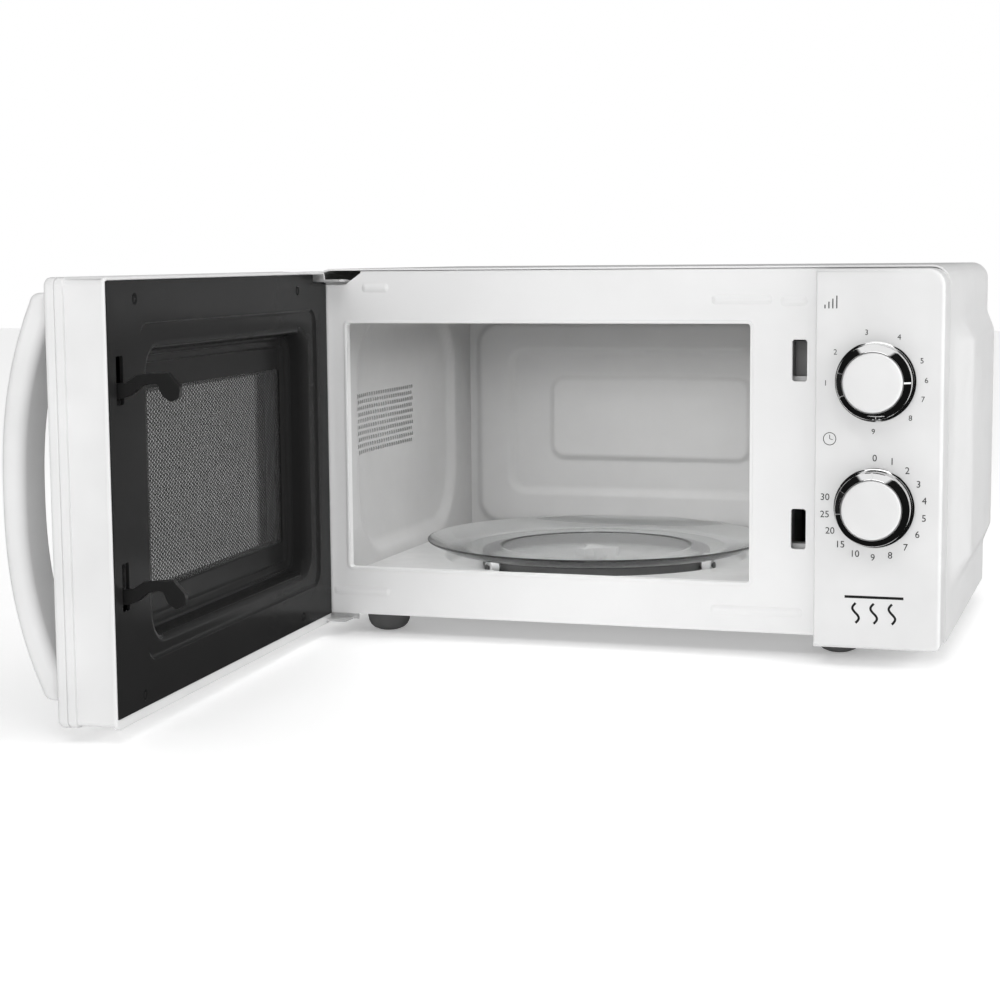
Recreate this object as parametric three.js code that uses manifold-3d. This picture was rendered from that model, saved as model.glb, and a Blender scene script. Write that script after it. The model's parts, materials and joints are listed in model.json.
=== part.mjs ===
import * as THREE from 'three';
import { mergeVertices } from 'three/addons/utils/BufferGeometryUtils.js';
import Module from 'manifold-3d';

const wasm = await Module();
wasm.setup();

// A microwave oven with its door standing open. Sizes are in millimetres: x to the right, y to the
// back, z up. The pieces are laid out with x = 0 in the middle of the cabinet, y = 0 on the face of
// the front frame and z = 0 under the feet; the finished oven is then centred over its outline.

const gap = 0.3;
const sheet = 1.2;

const cabinet = { halfWidth: 220, depth: 288, bottom: 13, top: 259, radius: 12 };
const bulge = { out: 7, rearOut: 5.5, bottom: 43, top: 222, slope: 14, start: 23, full: 97 };
const frame = { halfWidth: 218.4, bottom: 14.4, top: 257.4, radius: 3, upperRadius: 11 };
const mouth = { left: -197, right: 90, bottom: 48, top: 221, radius: 2 };
const cavity = { left: -200, right: 90.5, floor: 43, top: 229, back: 280, wall: 1 };
const recess = { floor: 34, radius: 112 };
const table = { x: -55, y: 144, radius: 127.5, underside: 45.4, rim: 56, innerRadius: 71 };
const ring = { radius: 86, width: 3.5, bottom: 35.5, top: 44, firstWheel: -131, wheelCount: 3 };
const wheel = { radius: 5.5, width: 7, orbit: 92, height: 39.7, axle: 1.5 };
const foot = { radius: 15.5, height: 14.1, front: 26, rear: 250, left: -178, right: 147 };
const panel = { left: 138.6, right: 219.8, bottom: 13, top: 257, front: -33.5, back: -1.3, radius: 11 };
const dial = { x: 177.2, powerZ: 185.7, timerZ: 105, cap: 18.9, skirt: 25.8, height: 16.6, shaft: 3 };
const hinge = { x: -215, y: -7.5, openAngle: 86.8, pin: 2, bore: 2.3, tabFront: -14 };
const slots = { left: 118.1, right: 127.9, lower: [71.9, 98.7], upper: [183.3, 210.7] };

// The door is laid out from its hinge pin: x runs along the closed door and y towards the cavity.
const door = { left: -4, right: 352, inner: 5, outer: -32.2, bottom: 8.5, top: 257.5, radius: 5 };
const doorFrame = { left: -2.4, right: 350.4, inner: 5, bottom: 15, top: 255.2, plate: 2 };
const doorWindow = { left: 38, right: 296, bottom: 52, top: 215, radius: 14, meshDepth: 20 };
const hook = { x: 337, width: 4, reach: 41, lowerArm: 85, upperArm: 197, arm: 8, drop: 9, head: 11 };
const handle = { left: 314, right: 346, bottom: 22.5, top: 249, out: 33, end: 10.5, thickness: 14 };
const helix = { x: hook.x, y: -9, radius: 3, wire: 0.5, turns: 6, bottom: 32, length: 32.8 };

const cord = { x: 150, z: 60 };
const fan = { x: 155, z: 165, hole: 48, blade: 45, count: 5 };
const grill = { z: 224.5, left: -165, right: 89.8, front: 95, pitch: 46, tube: 3.2, clipBelow: 5.2 };

const white = new THREE.MeshStandardMaterial({ color: 0xf2f2f2, roughness: 0.3, metalness: 0 });
const enamel = new THREE.MeshStandardMaterial({ color: 0xb9bab9, roughness: 0.4, metalness: 0 });
const black = new THREE.MeshStandardMaterial({ color: 0x151515, roughness: 0.4, metalness: 0 });
const darkGrey = new THREE.MeshStandardMaterial({ color: 0x4b4b4b, roughness: 0.6, metalness: 0 });
const steel = new THREE.MeshStandardMaterial({ color: 0xb4b4b2, roughness: 0.35, metalness: 1 });
const chrome = new THREE.MeshStandardMaterial({ color: 0xdedede, roughness: 0.08, metalness: 1 });
const copper = new THREE.MeshStandardMaterial({ color: 0xa55a32, roughness: 0.4, metalness: 1 });
const glass = new THREE.MeshStandardMaterial({
  color: 0xdfe6e4, roughness: 0.05, metalness: 0, transparent: true, opacity: 0.35,
});
const ceramic = new THREE.MeshStandardMaterial({ color: 0xeae6da, roughness: 0.6, metalness: 0 });

const microwave = new THREE.Group();
const openDoor = new THREE.Group();
openDoor.position.set(hinge.x, hinge.y, 0);
openDoor.rotation.z = THREE.MathUtils.degToRad(-hinge.openAngle);
microwave.add(openDoor);

function piece(name, geometry, material, parent = microwave) {
  const mesh = new THREE.Mesh(geometry, material);
  mesh.name = name;
  parent.add(mesh);
  return mesh;
}

// Solids and booleans

function dropFlatTriangles(geometry) {
  const index = Array.from(geometry.index.array);
  const kept = [];
  for (let i = 0; i < index.length; i += 3) {
    const [a, b, c] = index.slice(i, i + 3);
    if (a !== b && b !== c && a !== c) kept.push(a, b, c);
  }
  geometry.setIndex(kept);
  return geometry;
}

function welded(geometry) {
  const bare = geometry.clone();
  bare.deleteAttribute('normal');
  bare.deleteAttribute('uv');
  return dropFlatTriangles(mergeVertices(bare, 1e-4));
}

function solid(geometry) {
  const bare = welded(geometry);
  return new wasm.Manifold(new wasm.Mesh({
    numProp: 3,
    vertProperties: new Float32Array(bare.attributes.position.array),
    triVerts: new Uint32Array(bare.index.array),
  }));
}

function surface(manifold) {
  const mesh = manifold.getMesh();
  const geometry = new THREE.BufferGeometry();
  geometry.setAttribute('position', new THREE.BufferAttribute(mesh.vertProperties, 3));
  geometry.setIndex(new THREE.BufferAttribute(mesh.triVerts, 1));
  geometry.computeVertexNormals();
  return geometry;
}

function joined(...geometries) {
  return surface(geometries.map(solid).reduce((whole, next) => whole.add(next)));
}

function cut(body, ...tools) {
  return surface(tools.map(solid).reduce((whole, tool) => whole.subtract(tool), solid(body)));
}

function box(x0, x1, y0, y1, z0, z1) {
  const geometry = new THREE.BoxGeometry(x1 - x0, y1 - y0, z1 - z0);
  return geometry.translate((x0 + x1) / 2, (y0 + y1) / 2, (z0 + z1) / 2);
}

function roundedRect(x0, x1, z0, z1, radius, upper = radius) {
  const shape = new THREE.Shape();
  shape.moveTo(x0 + radius, z0);
  shape.lineTo(x1 - radius, z0);
  shape.absarc(x1 - radius, z0 + radius, radius, -Math.PI / 2, 0, false);
  shape.lineTo(x1, z1 - upper);
  shape.absarc(x1 - upper, z1 - upper, upper, 0, Math.PI / 2, false);
  shape.lineTo(x0 + upper, z1);
  shape.absarc(x0 + upper, z1 - upper, upper, Math.PI / 2, Math.PI, false);
  shape.lineTo(x0, z0 + radius);
  shape.absarc(x0 + radius, z0 + radius, radius, Math.PI, 1.5 * Math.PI, false);
  return shape;
}

// A shape drawn in x and z, given thickness along y.
function plateXZ(shape, y0, y1, curveSegments = 5) {
  const options = { depth: y1 - y0, bevelEnabled: false, curveSegments };
  const geometry = new THREE.ExtrudeGeometry(shape, options);
  return geometry.rotateX(Math.PI / 2).translate(0, y1, 0);
}

// A shape drawn in y and z, given thickness along x.
function plateYZ(shape, x0, x1, curveSegments = 5) {
  const options = { depth: x1 - x0, bevelEnabled: false, curveSegments };
  const axes = [new THREE.Vector3(0, 1, 0), new THREE.Vector3(0, 0, 1), new THREE.Vector3(1, 0, 0)];
  const turn = new THREE.Matrix4().makeBasis(...axes);
  return new THREE.ExtrudeGeometry(shape, options).applyMatrix4(turn).translate(x0, 0, 0);
}

function profilePoints(profile) {
  return profile.map(([radius, height]) => new THREE.Vector2(radius, height));
}

// Turned pieces: the profile lists radius and height, and closes on itself or on the axis.
function turnedUp(profile, x, y, segments = 32) {
  const geometry = new THREE.LatheGeometry(profilePoints(profile), segments);
  return welded(geometry.rotateX(Math.PI / 2).translate(x, y, 0));
}

function turnedForward(profile, x, z, faceY, segments = 32) {
  const geometry = new THREE.LatheGeometry(profilePoints(profile), segments);
  return welded(geometry.rotateX(Math.PI).translate(x, faceY, z));
}

function turnedRight(profile, y, z, x, segments = 24) {
  const geometry = new THREE.LatheGeometry(profilePoints(profile), segments);
  return welded(geometry.rotateZ(-Math.PI / 2).translate(x, y, z));
}

function rodProfile(radius, start, end) {
  return [[0, start], [radius, start], [radius, end], [0, end]];
}

function tubeProfile(inside, outside, start, end) {
  return [[inside, start], [outside, start], [outside, end], [inside, end], [inside, start]];
}

function disc(radius, segments) {
  const shape = new THREE.Shape();
  for (let i = 0; i < segments; i += 1) {
    const angle = (i / segments) * 2 * Math.PI;
    const move = i === 0 ? 'moveTo' : 'lineTo';
    shape[move](radius * Math.cos(angle), radius * Math.sin(angle));
  }
  return shape;
}

function bentTube(path, radius, steps, sides) {
  const options = { steps, extrudePath: path, bevelEnabled: false };
  return welded(new THREE.ExtrudeGeometry(disc(radius, sides), options));
}

// Cabinet

// The wrap's outline seen from the front, from its lower left edge over the top to its lower right.
function wrapPath(inset, out, halfWidth) {
  const side = halfWidth - inset;
  const top = cabinet.top - inset;
  const radius = cabinet.radius - inset;
  const left = [
    [-side, cabinet.bottom],
    [-side, bulge.bottom],
    [-side - out, bulge.bottom + bulge.slope],
    [-side - out, bulge.top - bulge.slope],
    [-side, bulge.top],
  ];
  const cornerSteps = 5;
  for (let i = 0; i <= cornerSteps; i += 1) {
    const angle = Math.PI - (i / cornerSteps) * (Math.PI / 2);
    const x = -side + radius + radius * Math.cos(angle);
    left.push([x, top - radius + radius * Math.sin(angle)]);
  }
  const right = left.map(([x, z]) => [-x, z]).reverse();
  return [...left, ...right];
}

// Joins closed outlines of equal point count, one behind the other along y, into one solid.
function loft(sections) {
  const count = sections[0].outline.length;
  const positions = [];
  for (const { y, outline } of sections) {
    for (const [x, z] of outline) positions.push(x, y, z);
  }
  const index = [];
  for (let s = 0; s + 1 < sections.length; s += 1) {
    for (let i = 0; i < count; i += 1) {
      const a = s * count + i;
      const b = s * count + ((i + 1) % count);
      index.push(a, a + count, b, b, a + count, b + count);
    }
  }
  const flat = sections[0].outline.map(([x, z]) => new THREE.Vector2(x, z));
  const last = (sections.length - 1) * count;
  for (const [a, b, c] of THREE.ShapeUtils.triangulateShape(flat, [])) {
    index.push(a, b, c, last + c, last + b, last + a);
  }
  const geometry = new THREE.BufferGeometry();
  geometry.setAttribute('position', new THREE.Float32BufferAttribute(positions, 3));
  geometry.setIndex(index);
  return geometry;
}

function outerWrap() {
  const section = (y, out, halfWidth) => ({
    y,
    outline: [
      ...wrapPath(0, out, halfWidth),
      ...wrapPath(sheet, out, halfWidth).reverse(),
    ].reverse(),
  });
  return loft([
    section(-0.8, 0, cabinet.halfWidth),
    section(bulge.start, 0, cabinet.halfWidth),
    section(bulge.full, bulge.out, cabinet.halfWidth),
    section(cabinet.depth, bulge.rearOut, cabinet.halfWidth - 0.5),
  ]);
}

function rearPanel() {
  const path = wrapPath(sheet + 2 * gap, bulge.rearOut, cabinet.halfWidth - 0.5);
  const outline = new THREE.Shape(path.map(([x, z]) => new THREE.Vector2(x, Math.max(z, frame.bottom))));
  const plate = plateXZ(outline, cabinet.depth - 2 * sheet, cabinet.depth - sheet);
  return cut(plate, turnedForward(rodProfile(8, -300, -270), cord.x, cord.z, 0));
}

function slotCut([z0, z1]) {
  return box(slots.left, slots.right, -1, 3, z0, z1);
}

function frontFrame() {
  const { halfWidth, bottom, top, radius, upperRadius } = frame;
  const outline = roundedRect(-halfWidth, halfWidth, bottom, top, radius, upperRadius);
  outline.holes.push(roundedRect(mouth.left, mouth.right, mouth.bottom, mouth.top, mouth.radius));
  outline.holes.push(roundedRect(dial.x - 33, dial.x + 33, 68, 226, 4));
  const notch = new THREE.Shape([
    new THREE.Vector2(-230, 248), new THREE.Vector2(-197.5, 248),
    new THREE.Vector2(-186, 256), new THREE.Vector2(-186, 262), new THREE.Vector2(-230, 262),
  ]);
  return cut(plateXZ(outline, 0, sheet), plateXZ(notch, -1, 3), slotCut(slots.lower), slotCut(slots.upper));
}

// The cavity is welded from three pressings: an arch of two sides and ceiling, a floor with a
// round well for the roller ring, and a back.
function cavityLiner() {
  const { left, right, floor, top, back, wall } = cavity;
  return cut(
    box(left - wall, right + wall, sheet + gap, back, floor + gap, top + wall),
    box(left, right, 0, back + 5, floor - 5, top),
    box(right - 5, right + 5, 110, 170, 150, 190),
  );
}

function cavityFloor() {
  const { left, right, floor, back, wall } = cavity;
  const well = rodProfile(recess.radius + wall, recess.floor - wall, floor);
  return cut(
    joined(
      box(left - wall, right + wall, sheet + gap, back, floor - wall, floor),
      turnedUp(well, table.x, table.y, 40),
    ),
    turnedUp(rodProfile(recess.radius, recess.floor, floor + 5), table.x, table.y, 40),
    turnedUp(rodProfile(4.5, 20, 50), table.x, table.y, 16),
  );
}

function cavityBack() {
  const { left, right, floor, top, back, wall } = cavity;
  return box(left - wall, right + wall, back + gap, back + gap + wall, floor - wall, top + wall);
}

function basePlate() {
  const plate = box(-217.6, 217.6, 2, 285, 15, 15 + sheet);
  const holes = [];
  for (const x of [foot.left, foot.right]) {
    for (const y of [foot.front, foot.rear]) holes.push(turnedUp(rodProfile(2.5, 10, 20), x, y, 12));
  }
  return cut(plate, ...holes);
}

function footShape(x, y) {
  const top = foot.height + 0.6;
  const profile = [
    [0, 0], [7, 0], [11.6, 2], [14.3, 5.4], [foot.radius, top], [2, top], [2, 19], [0, 19],
  ];
  return turnedUp(profile, x, y, 20);
}

function hingeBracket(tabBottom, plateBottom, plateTop, pinBottom, pinTop) {
  const tab = box(hinge.x - 4, hinge.x + 19, hinge.tabFront, -1.2, tabBottom, tabBottom + 1.5);
  const neck = box(hinge.x - 2, hinge.x + 19, -2, 3, tabBottom, tabBottom + 1.5);
  const plate = box(hinge.x - 2, hinge.x + 23, sheet + gap, 3, plateBottom, plateTop);
  const pin = turnedUp(rodProfile(hinge.pin, pinBottom, pinTop), hinge.x, hinge.y, 16);
  return joined(tab, neck, plate, pin);
}

function cordBush() {
  const back = cabinet.depth - 2 * sheet;
  const profile = [
    [3.6, -back - 4.4], [9.6, -back - 4.4], [9.6, -back - 1.6], [7.7, -back - 1.6], [7.7, -back + 5],
    [3.6, -back + 5], [3.6, -back - 4.4],
  ];
  return turnedForward(profile, cord.x, cord.z, 0, 20);
}

// Door

function hingeBlock(z0, z1) {
  return box(door.left, 12, -12, 2.6, z0, z1);
}

function doorShell() {
  const wall = 2.2;
  const rim = 4.2;
  const outer = roundedRect(door.left, door.right, door.bottom, door.top, door.radius);
  const inner = roundedRect(
    door.left + wall, door.right - wall, doorFrame.bottom - gap, door.top - wall, door.radius - wall,
  );
  const opening = roundedRect(44, 290, 58, 209, 10);
  const tray = cut(
    plateXZ(outer, door.outer, rim),
    plateXZ(inner, door.outer + wall, rim + 2),
    plateXZ(opening, door.outer - 1, door.outer + wall + 1),
  );
  const pocket = (z0, z1) => box(door.left - 2, 24, -9.5, 8, z0, z1);
  return cut(
    joined(tray, hingeBlock(235, 249.4), hingeBlock(12.5, 28)),
    pocket(249.4, door.top + 2),
    pocket(door.bottom - 2, 12.5),
    turnedUp(rodProfile(hinge.bore, 236, 252), 0, 0, 16),
    turnedUp(rodProfile(hinge.bore, 5, 27), 0, 0, 16),
    plateXZ(roundedRect(-8, doorFrame.right + gap, 14.6, 255.6, 3), doorFrame.inner - 2 - gap, 9),
  );
}

function doorInnerFrame() {
  const { left, right, bottom, top, inner, plate } = doorFrame;
  const wall = 1.5;
  const depth = inner - doorWindow.meshDepth;
  const w = doorWindow;
  const sheetPlate = plateXZ(roundedRect(left, right, bottom, top, 3), inner - plate, inner);
  const tube = roundedRect(w.left - wall, w.right + wall, w.bottom - wall, w.top + wall, w.radius + wall);
  const through = roundedRect(w.left, w.right, w.bottom, w.top, w.radius);
  const slotHeight = hook.arm + hook.drop + 12;
  const slot = (arm) => box(hook.x - 4.5, hook.x + 4.5, 0, 9, arm + hook.arm + 7 - slotHeight, arm + hook.arm + 7);
  return cut(
    joined(sheetPlate, plateXZ(tube, depth, inner - 0.5)),
    plateXZ(through, depth - 1, inner + 1),
    slot(hook.lowerArm),
    slot(hook.upperArm),
    box(left - 2, 24, -9.5, 9, 249.4, top + 3),
  );
}

function pane(margin, y0, y1) {
  const w = doorWindow;
  const outline = roundedRect(
    w.left - margin, w.right + margin, w.bottom - margin, w.top + margin, w.radius + margin,
  );
  return plateXZ(outline, y0, y1);
}

// One latch hook seen from the side: an arm that leaves the door and a head that turns down.
function hookArm(armBottom) {
  const { reach, arm, drop, head, width, x } = hook;
  const top = armBottom + arm;
  const low = armBottom - drop;
  const outline = [
    [-6, armBottom], [reach - head, armBottom], [reach - head, low], [reach - head + 3, low],
    [reach, low + 7], [reach, top - 6], [reach - 6, top], [-6, top],
  ];
  const shape = new THREE.Shape(outline.map(([y, z]) => new THREE.Vector2(y, z)));
  return plateYZ(shape, x - width / 2, x + width / 2);
}

function latchLever() {
  const bar = box(hook.x - 4, hook.x + 4, -13, -5, 66, hook.upperArm + hook.arm);
  return joined(bar, hookArm(hook.lowerArm), hookArm(hook.upperArm));
}

class Helix extends THREE.Curve {
  getPoint(t) {
    const angle = t * helix.turns * 2 * Math.PI;
    const z = helix.bottom + t * helix.length;
    return new THREE.Vector3(helix.x + helix.radius * Math.cos(angle), helix.y + helix.radius * Math.sin(angle), z);
  }
}

function handleBar() {
  const middle = (handle.bottom + handle.top) / 2;
  const halfHeight = (handle.top - handle.bottom) / 2;
  const root = door.outer - gap;
  const innerReach = 0.87;
  const steps = 14;
  const points = [];
  const bow = (end, out, reach, from, to) => {
    for (let i = 0; i <= steps; i += 1) {
      const s = from + (i / steps) * (to - from);
      const proud = end + (out - end) * (1 - Math.abs(s) ** 2.4);
      points.push(new THREE.Vector2(root - proud, middle + s * reach * halfHeight));
    }
  };
  points.push(new THREE.Vector2(root, handle.bottom));
  bow(handle.end, handle.out, 1, -1, 1);
  points.push(new THREE.Vector2(root, handle.top));
  bow(0, handle.out - handle.thickness, innerReach, 1, -1);
  return plateYZ(new THREE.Shape(points), handle.left, handle.right);
}

// Control panel

function controlPanel() {
  const wall = 2.5;
  const outline = (inset) => {
    const x0 = panel.left + inset;
    const x1 = panel.right - inset;
    const z0 = panel.bottom + inset;
    const z1 = panel.top - inset;
    const radius = panel.radius - inset;
    const shape = new THREE.Shape();
    shape.moveTo(x0, z0);
    shape.lineTo(x1, z0);
    shape.lineTo(x1, z1 - radius);
    shape.absarc(x1 - radius, z1 - radius, radius, 0, Math.PI / 2, false);
    shape.lineTo(x0, z1);
    return shape;
  };
  const hole = (z) => turnedForward(rodProfile(5, 20, 40), dial.x, z, 0, 16);
  return cut(
    plateXZ(outline(0), panel.front, panel.back),
    plateXZ(outline(wall), panel.front + wall, panel.back + 5),
    hole(dial.powerZ),
    hole(dial.timerZ),
  );
}

function knobCap(z, pointerAngle) {
  const { cap, height, shaft } = dial;
  const profile = [
    [0, 9], [shaft + gap, 9], [shaft + gap, 0.6], [cap, 0.6], [cap, height - 0.8], [cap - 0.8, height],
    [0, height],
  ];
  const body = turnedForward(profile, 0, 0, 0, 32);
  const pointer = box(-0.8, 0.8, -height - 1, -height + 0.8, cap - 5, cap + 1);
  pointer.rotateY(pointerAngle);
  return cut(body, pointer).translate(dial.x, panel.front, z);
}

function knobRing(z) {
  const hole = dial.cap + gap;
  const profile = [
    [hole, 0.8], [dial.skirt - 0.6, 0.8], [dial.skirt, 1.4], [dial.skirt, 3], [hole + 1.4, 14],
    [hole + 0.6, 14.4], [hole, 14.2], [hole, 0.8],
  ];
  return turnedForward(profile, dial.x, z, panel.front, 32);
}

function dialShaft(z) {
  const start = -27.6 - panel.front;
  return turnedForward(rodProfile(dial.shaft, -start, 8.6), dial.x, z, panel.front, 16);
}

function timerBell() {
  const profile = [
    [0, -22], [10, -20.6], [16, -16], [18, -10], [17, -10], [15.2, -15.3], [9.5, -19.6], [0, -20.9],
  ];
  return turnedForward(profile, dial.x, dial.timerZ, 2.6, 24);
}

function interlockBracket() {
  const back = 38;
  const front = sheet + gap + 0.5;
  const side = box(111, 114, front, back, 62, 222);
  const flange = box(111, 135.5, front, front + 2, 62, 222);
  const ledges = [[62, 74], [176, 186]].map(([z0, z1]) => box(113, 131, 12, 22, z0, z1));
  return cut(joined(side, flange, ...ledges), slotCutDeep(slots.lower), slotCutDeep(slots.upper));
}

function slotCutDeep([z0, z1]) {
  return box(slots.left, slots.right, 0, 8, z0, z1);
}

function microswitch(z) {
  return joined(box(132, 142, 10, 38, z, z + 16), box(135, 139, 8, 11, z + 4, z + 7));
}

// Works behind the control panel

function waveguide() {
  const outside = box(91.8, 118, 92, 188, 132, 208);
  const inside = box(91, 117, 93, 187, 133, 207);
  return cut(outside, inside, turnedRight(rodProfile(12, 0, 10), 135, 170, 112));
}

function magnetron() {
  const flange = box(118.4, 121, 96, 174, 130, 210);
  const yokes = [box(120, 180, 96, 99, 134, 206), box(120, 180, 171, 174, 134, 206)];
  const end = box(178, 181, 96, 174, 134, 206);
  const core = turnedRight(rodProfile(17, 0, 60), 135, 170, 120);
  const antenna = turnedRight(rodProfile(8, 0, 26), 135, 170, 94);
  const filterBox = box(180, 206, 108, 162, 145, 195);
  const fins = [];
  for (let x = 131; x < 176; x += 14) fins.push(box(x, x + 1, 98, 172, 140, 200));
  return joined(flange, ...yokes, end, core, antenna, filterBox, ...fins);
}

function transformerCore() {
  const shape = roundedRect(108, 198, 17, 103, 1);
  shape.holes.push(roundedRect(122, 146, 32, 88, 0.5), roundedRect(160, 184, 32, 88, 0.5));
  return plateXZ(shape, 104, 176, 1);
}

function transformerWinding() {
  return cut(box(122.5, 183.5, 90, 190, 34, 86), box(145.6, 160.4, 103.6, 176.4, 20, 100));
}

function capacitor() {
  const can = plateYZ(roundedRect(212, 248, 18, 74, 17), 108, 190);
  return joined(can, box(188, 196, 222, 226, 40, 43), box(188, 196, 234, 238, 40, 43));
}

function fanShroud() {
  const shape = roundedRect(fan.x - 54, fan.x + 54, fan.z - 55, fan.z + 56, 3);
  const centre = new THREE.Vector2(fan.x, fan.z);
  shape.holes.push(new THREE.Path(disc(fan.hole, 32).getPoints().map((point) => point.add(centre))));
  return plateXZ(shape, 258, 284);
}

function fanMotor() {
  const body = box(fan.x - 18, fan.x + 18, 226, 250, fan.z - 22, fan.z + 22);
  const bridge = box(fan.x - 6, fan.x + 6, 249, 257.6, fan.z - 53, fan.z + 53);
  const shaft = turnedForward(rodProfile(2, -276, -250), fan.x, fan.z, 0, 12);
  return joined(body, bridge, shaft);
}

function fanBlade() {
  const hub = turnedForward(tubeProfile(2.3, 12, -279, -261), 0, 0, 0, 20);
  const blades = [];
  for (let i = 0; i < fan.count; i += 1) {
    const blade = box(-11, 11, -0.8, 0.8, 10, fan.blade);
    blade.rotateZ(0.5).translate(0, 270, 0).rotateY((i / fan.count) * 2 * Math.PI);
    blades.push(blade);
  }
  return cut(joined(hub, ...blades), turnedForward(rodProfile(2.3, -290, -250), 0, 0, 0, 12))
    .translate(fan.x, 0, fan.z);
}

function airDuct() {
  return cut(box(91.9, 118, 196, 250, 142, 206), box(93.4, 116.5, 190, 256, 143.5, 204.5));
}

function ovenLamp() {
  const bulb = [[0, 0], [7, 2], [10, 7], [10, 12], [6, 19], [0, 19]];
  return joined(turnedRight(bulb, 62, 196, 93.5, 16), box(111, 122, 50, 74, 184, 208));
}

function filterBoard() {
  const board = box(104, 204, 186, 248, 228, 229.6);
  const fuse = box(110, 134, 192, 199, 229, 237);
  const choke = turnedUp(tubeProfile(5, 13, 229, 241), 170, 218, 20);
  return joined(board, fuse, choke);
}

// Turntable and its drive

function turntableGlass() {
  const { underside, radius, rim, innerRadius } = table;
  const profile = [
    [0, underside], [97, underside], [106, 46.6], [114, 48.6], [121, 51.4], [radius - 0.6, rim - 1.2],
    [radius, rim - 0.4], [radius - 0.7, rim], [119, 53.9], [111, 51.3], [103, 49.9],
    [innerRadius + 2, 49.6], [innerRadius, 48.9], [0, 48.9],
  ];
  return turnedUp(profile, table.x, table.y, 48);
}

function driveCoupler() {
  const parts = [turnedUp(rodProfile(8, 36, 44.9), 0, 0, 20), turnedUp(rodProfile(3, 32, 38), 0, 0, 12)];
  for (let i = 0; i < 3; i += 1) {
    parts.push(box(0, 17, -4.5, 4.5, 39, 44.9).rotateZ((i / 3) * 2 * Math.PI));
  }
  return joined(...parts).translate(table.x, table.y, 0);
}

function turntableMotor() {
  return turnedUp([[0, 17], [25, 17], [25, 30], [7, 30], [7, 31.6], [0, 31.6]], table.x, table.y, 24);
}

function wheelAngle(i) {
  return THREE.MathUtils.degToRad(ring.firstWheel + (i * 360) / ring.wheelCount);
}

function rollerRing() {
  const band = turnedUp(tubeProfile(ring.radius - ring.width, ring.radius, ring.bottom, ring.top), 0, 0, 48);
  const axles = [];
  for (let i = 0; i < ring.wheelCount; i += 1) {
    const start = ring.radius - 1;
    const end = wheel.orbit + wheel.width / 2 + 1.5;
    axles.push(turnedRight(rodProfile(wheel.axle, start, end), 0, wheel.height, 0, 10).rotateZ(wheelAngle(i)));
  }
  return joined(band, ...axles).translate(table.x, table.y, 0);
}

function rollerWheel(i) {
  const half = wheel.width / 2;
  const profile = [
    [wheel.axle + gap, -half], [wheel.radius - 0.6, -half], [wheel.radius, -half + 0.6],
    [wheel.radius, half - 0.6], [wheel.radius - 0.6, half], [wheel.axle + gap, half],
    [wheel.axle + gap, -half],
  ];
  const geometry = turnedRight(profile, 0, wheel.height, wheel.orbit, 20);
  return geometry.rotateZ(wheelAngle(i)).translate(table.x, table.y, 0);
}

// Grill element: a heating tube that runs across the ceiling and back in two loops.
function grillElement() {
  const path = new THREE.CurvePath();
  const runs = 4;
  const turn = grill.pitch / 2;
  const nearRight = 50;
  const point = (x, y) => new THREE.Vector3(x, y, grill.z);
  for (let run = 0; run < runs; run += 1) {
    const y = grill.front + run * grill.pitch;
    const leftward = run % 2 === 0;
    const rightEnd = run === 0 || run === runs - 1 ? grill.right : nearRight;
    const [from, to] = leftward ? [rightEnd, grill.left] : [grill.left, rightEnd];
    path.add(new THREE.LineCurve3(point(from, y), point(to, y)));
    if (run + 1 === runs) continue;
    const out = leftward ? -turn : turn;
    path.add(new THREE.CubicBezierCurve3(
      point(to, y), point(to + out * 1.33, y), point(to + out * 1.33, y + grill.pitch), point(to, y + grill.pitch),
    ));
  }
  return bentTube(path, grill.tube, 72, 6);
}

function elementClip(x) {
  const length = 3 * grill.pitch + 16;
  const y0 = grill.front - 8;
  const bar = box(x - 3, x + 3, y0, y0 + length, grill.z - grill.clipBelow, cavity.top - gap);
  const holes = [];
  for (let run = 0; run < 4; run += 1) {
    const y = grill.front + run * grill.pitch;
    holes.push(turnedRight(rodProfile(grill.tube + gap, -6, 6), y, grill.z, x, 12));
  }
  return cut(bar, ...holes);
}

piece('outer_wrap', outerWrap(), white);
piece('front_frame', frontFrame(), white);
piece('cavity_liner', cavityLiner(), enamel);
piece('cavity_floor', cavityFloor(), enamel);
piece('cavity_back', cavityBack(), enamel);
piece('base_plate', basePlate(), steel);
piece('rear_panel', rearPanel(), steel);
piece('foot_front_left', footShape(foot.left, foot.front), darkGrey);
piece('foot_front_right', footShape(foot.right, foot.front), darkGrey);
piece('foot_rear_left', footShape(foot.left, foot.rear), darkGrey);
piece('foot_rear_right', footShape(foot.right, foot.rear), darkGrey);
piece('hinge_bracket_upper', hingeBracket(250.2, 234, 251, 240, 250.5), steel);
piece('hinge_bracket_lower', hingeBracket(10.4, 10.4, 14.2, 11, 24), steel);
piece('cord_bush', cordBush(), black);

piece('door_outer_shell', doorShell(), white, openDoor);
piece('door_inner_frame', doorInnerFrame(), black, openDoor);
piece('door_window', pane(0, door.outer + 2.6, door.outer + 5), black, openDoor);
piece('mesh_screen', pane(1.2, -16.4, -15.3), black, openDoor);
piece('window_film', pane(-0.4, -13.6, -12.8), glass, openDoor);
piece('door_handle', handleBar(), white, openDoor);
piece('latch_lever', latchLever(), black, openDoor);
piece('latch_spring', bentTube(new Helix(), helix.wire, 60, 4), steel, openDoor);

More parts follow.
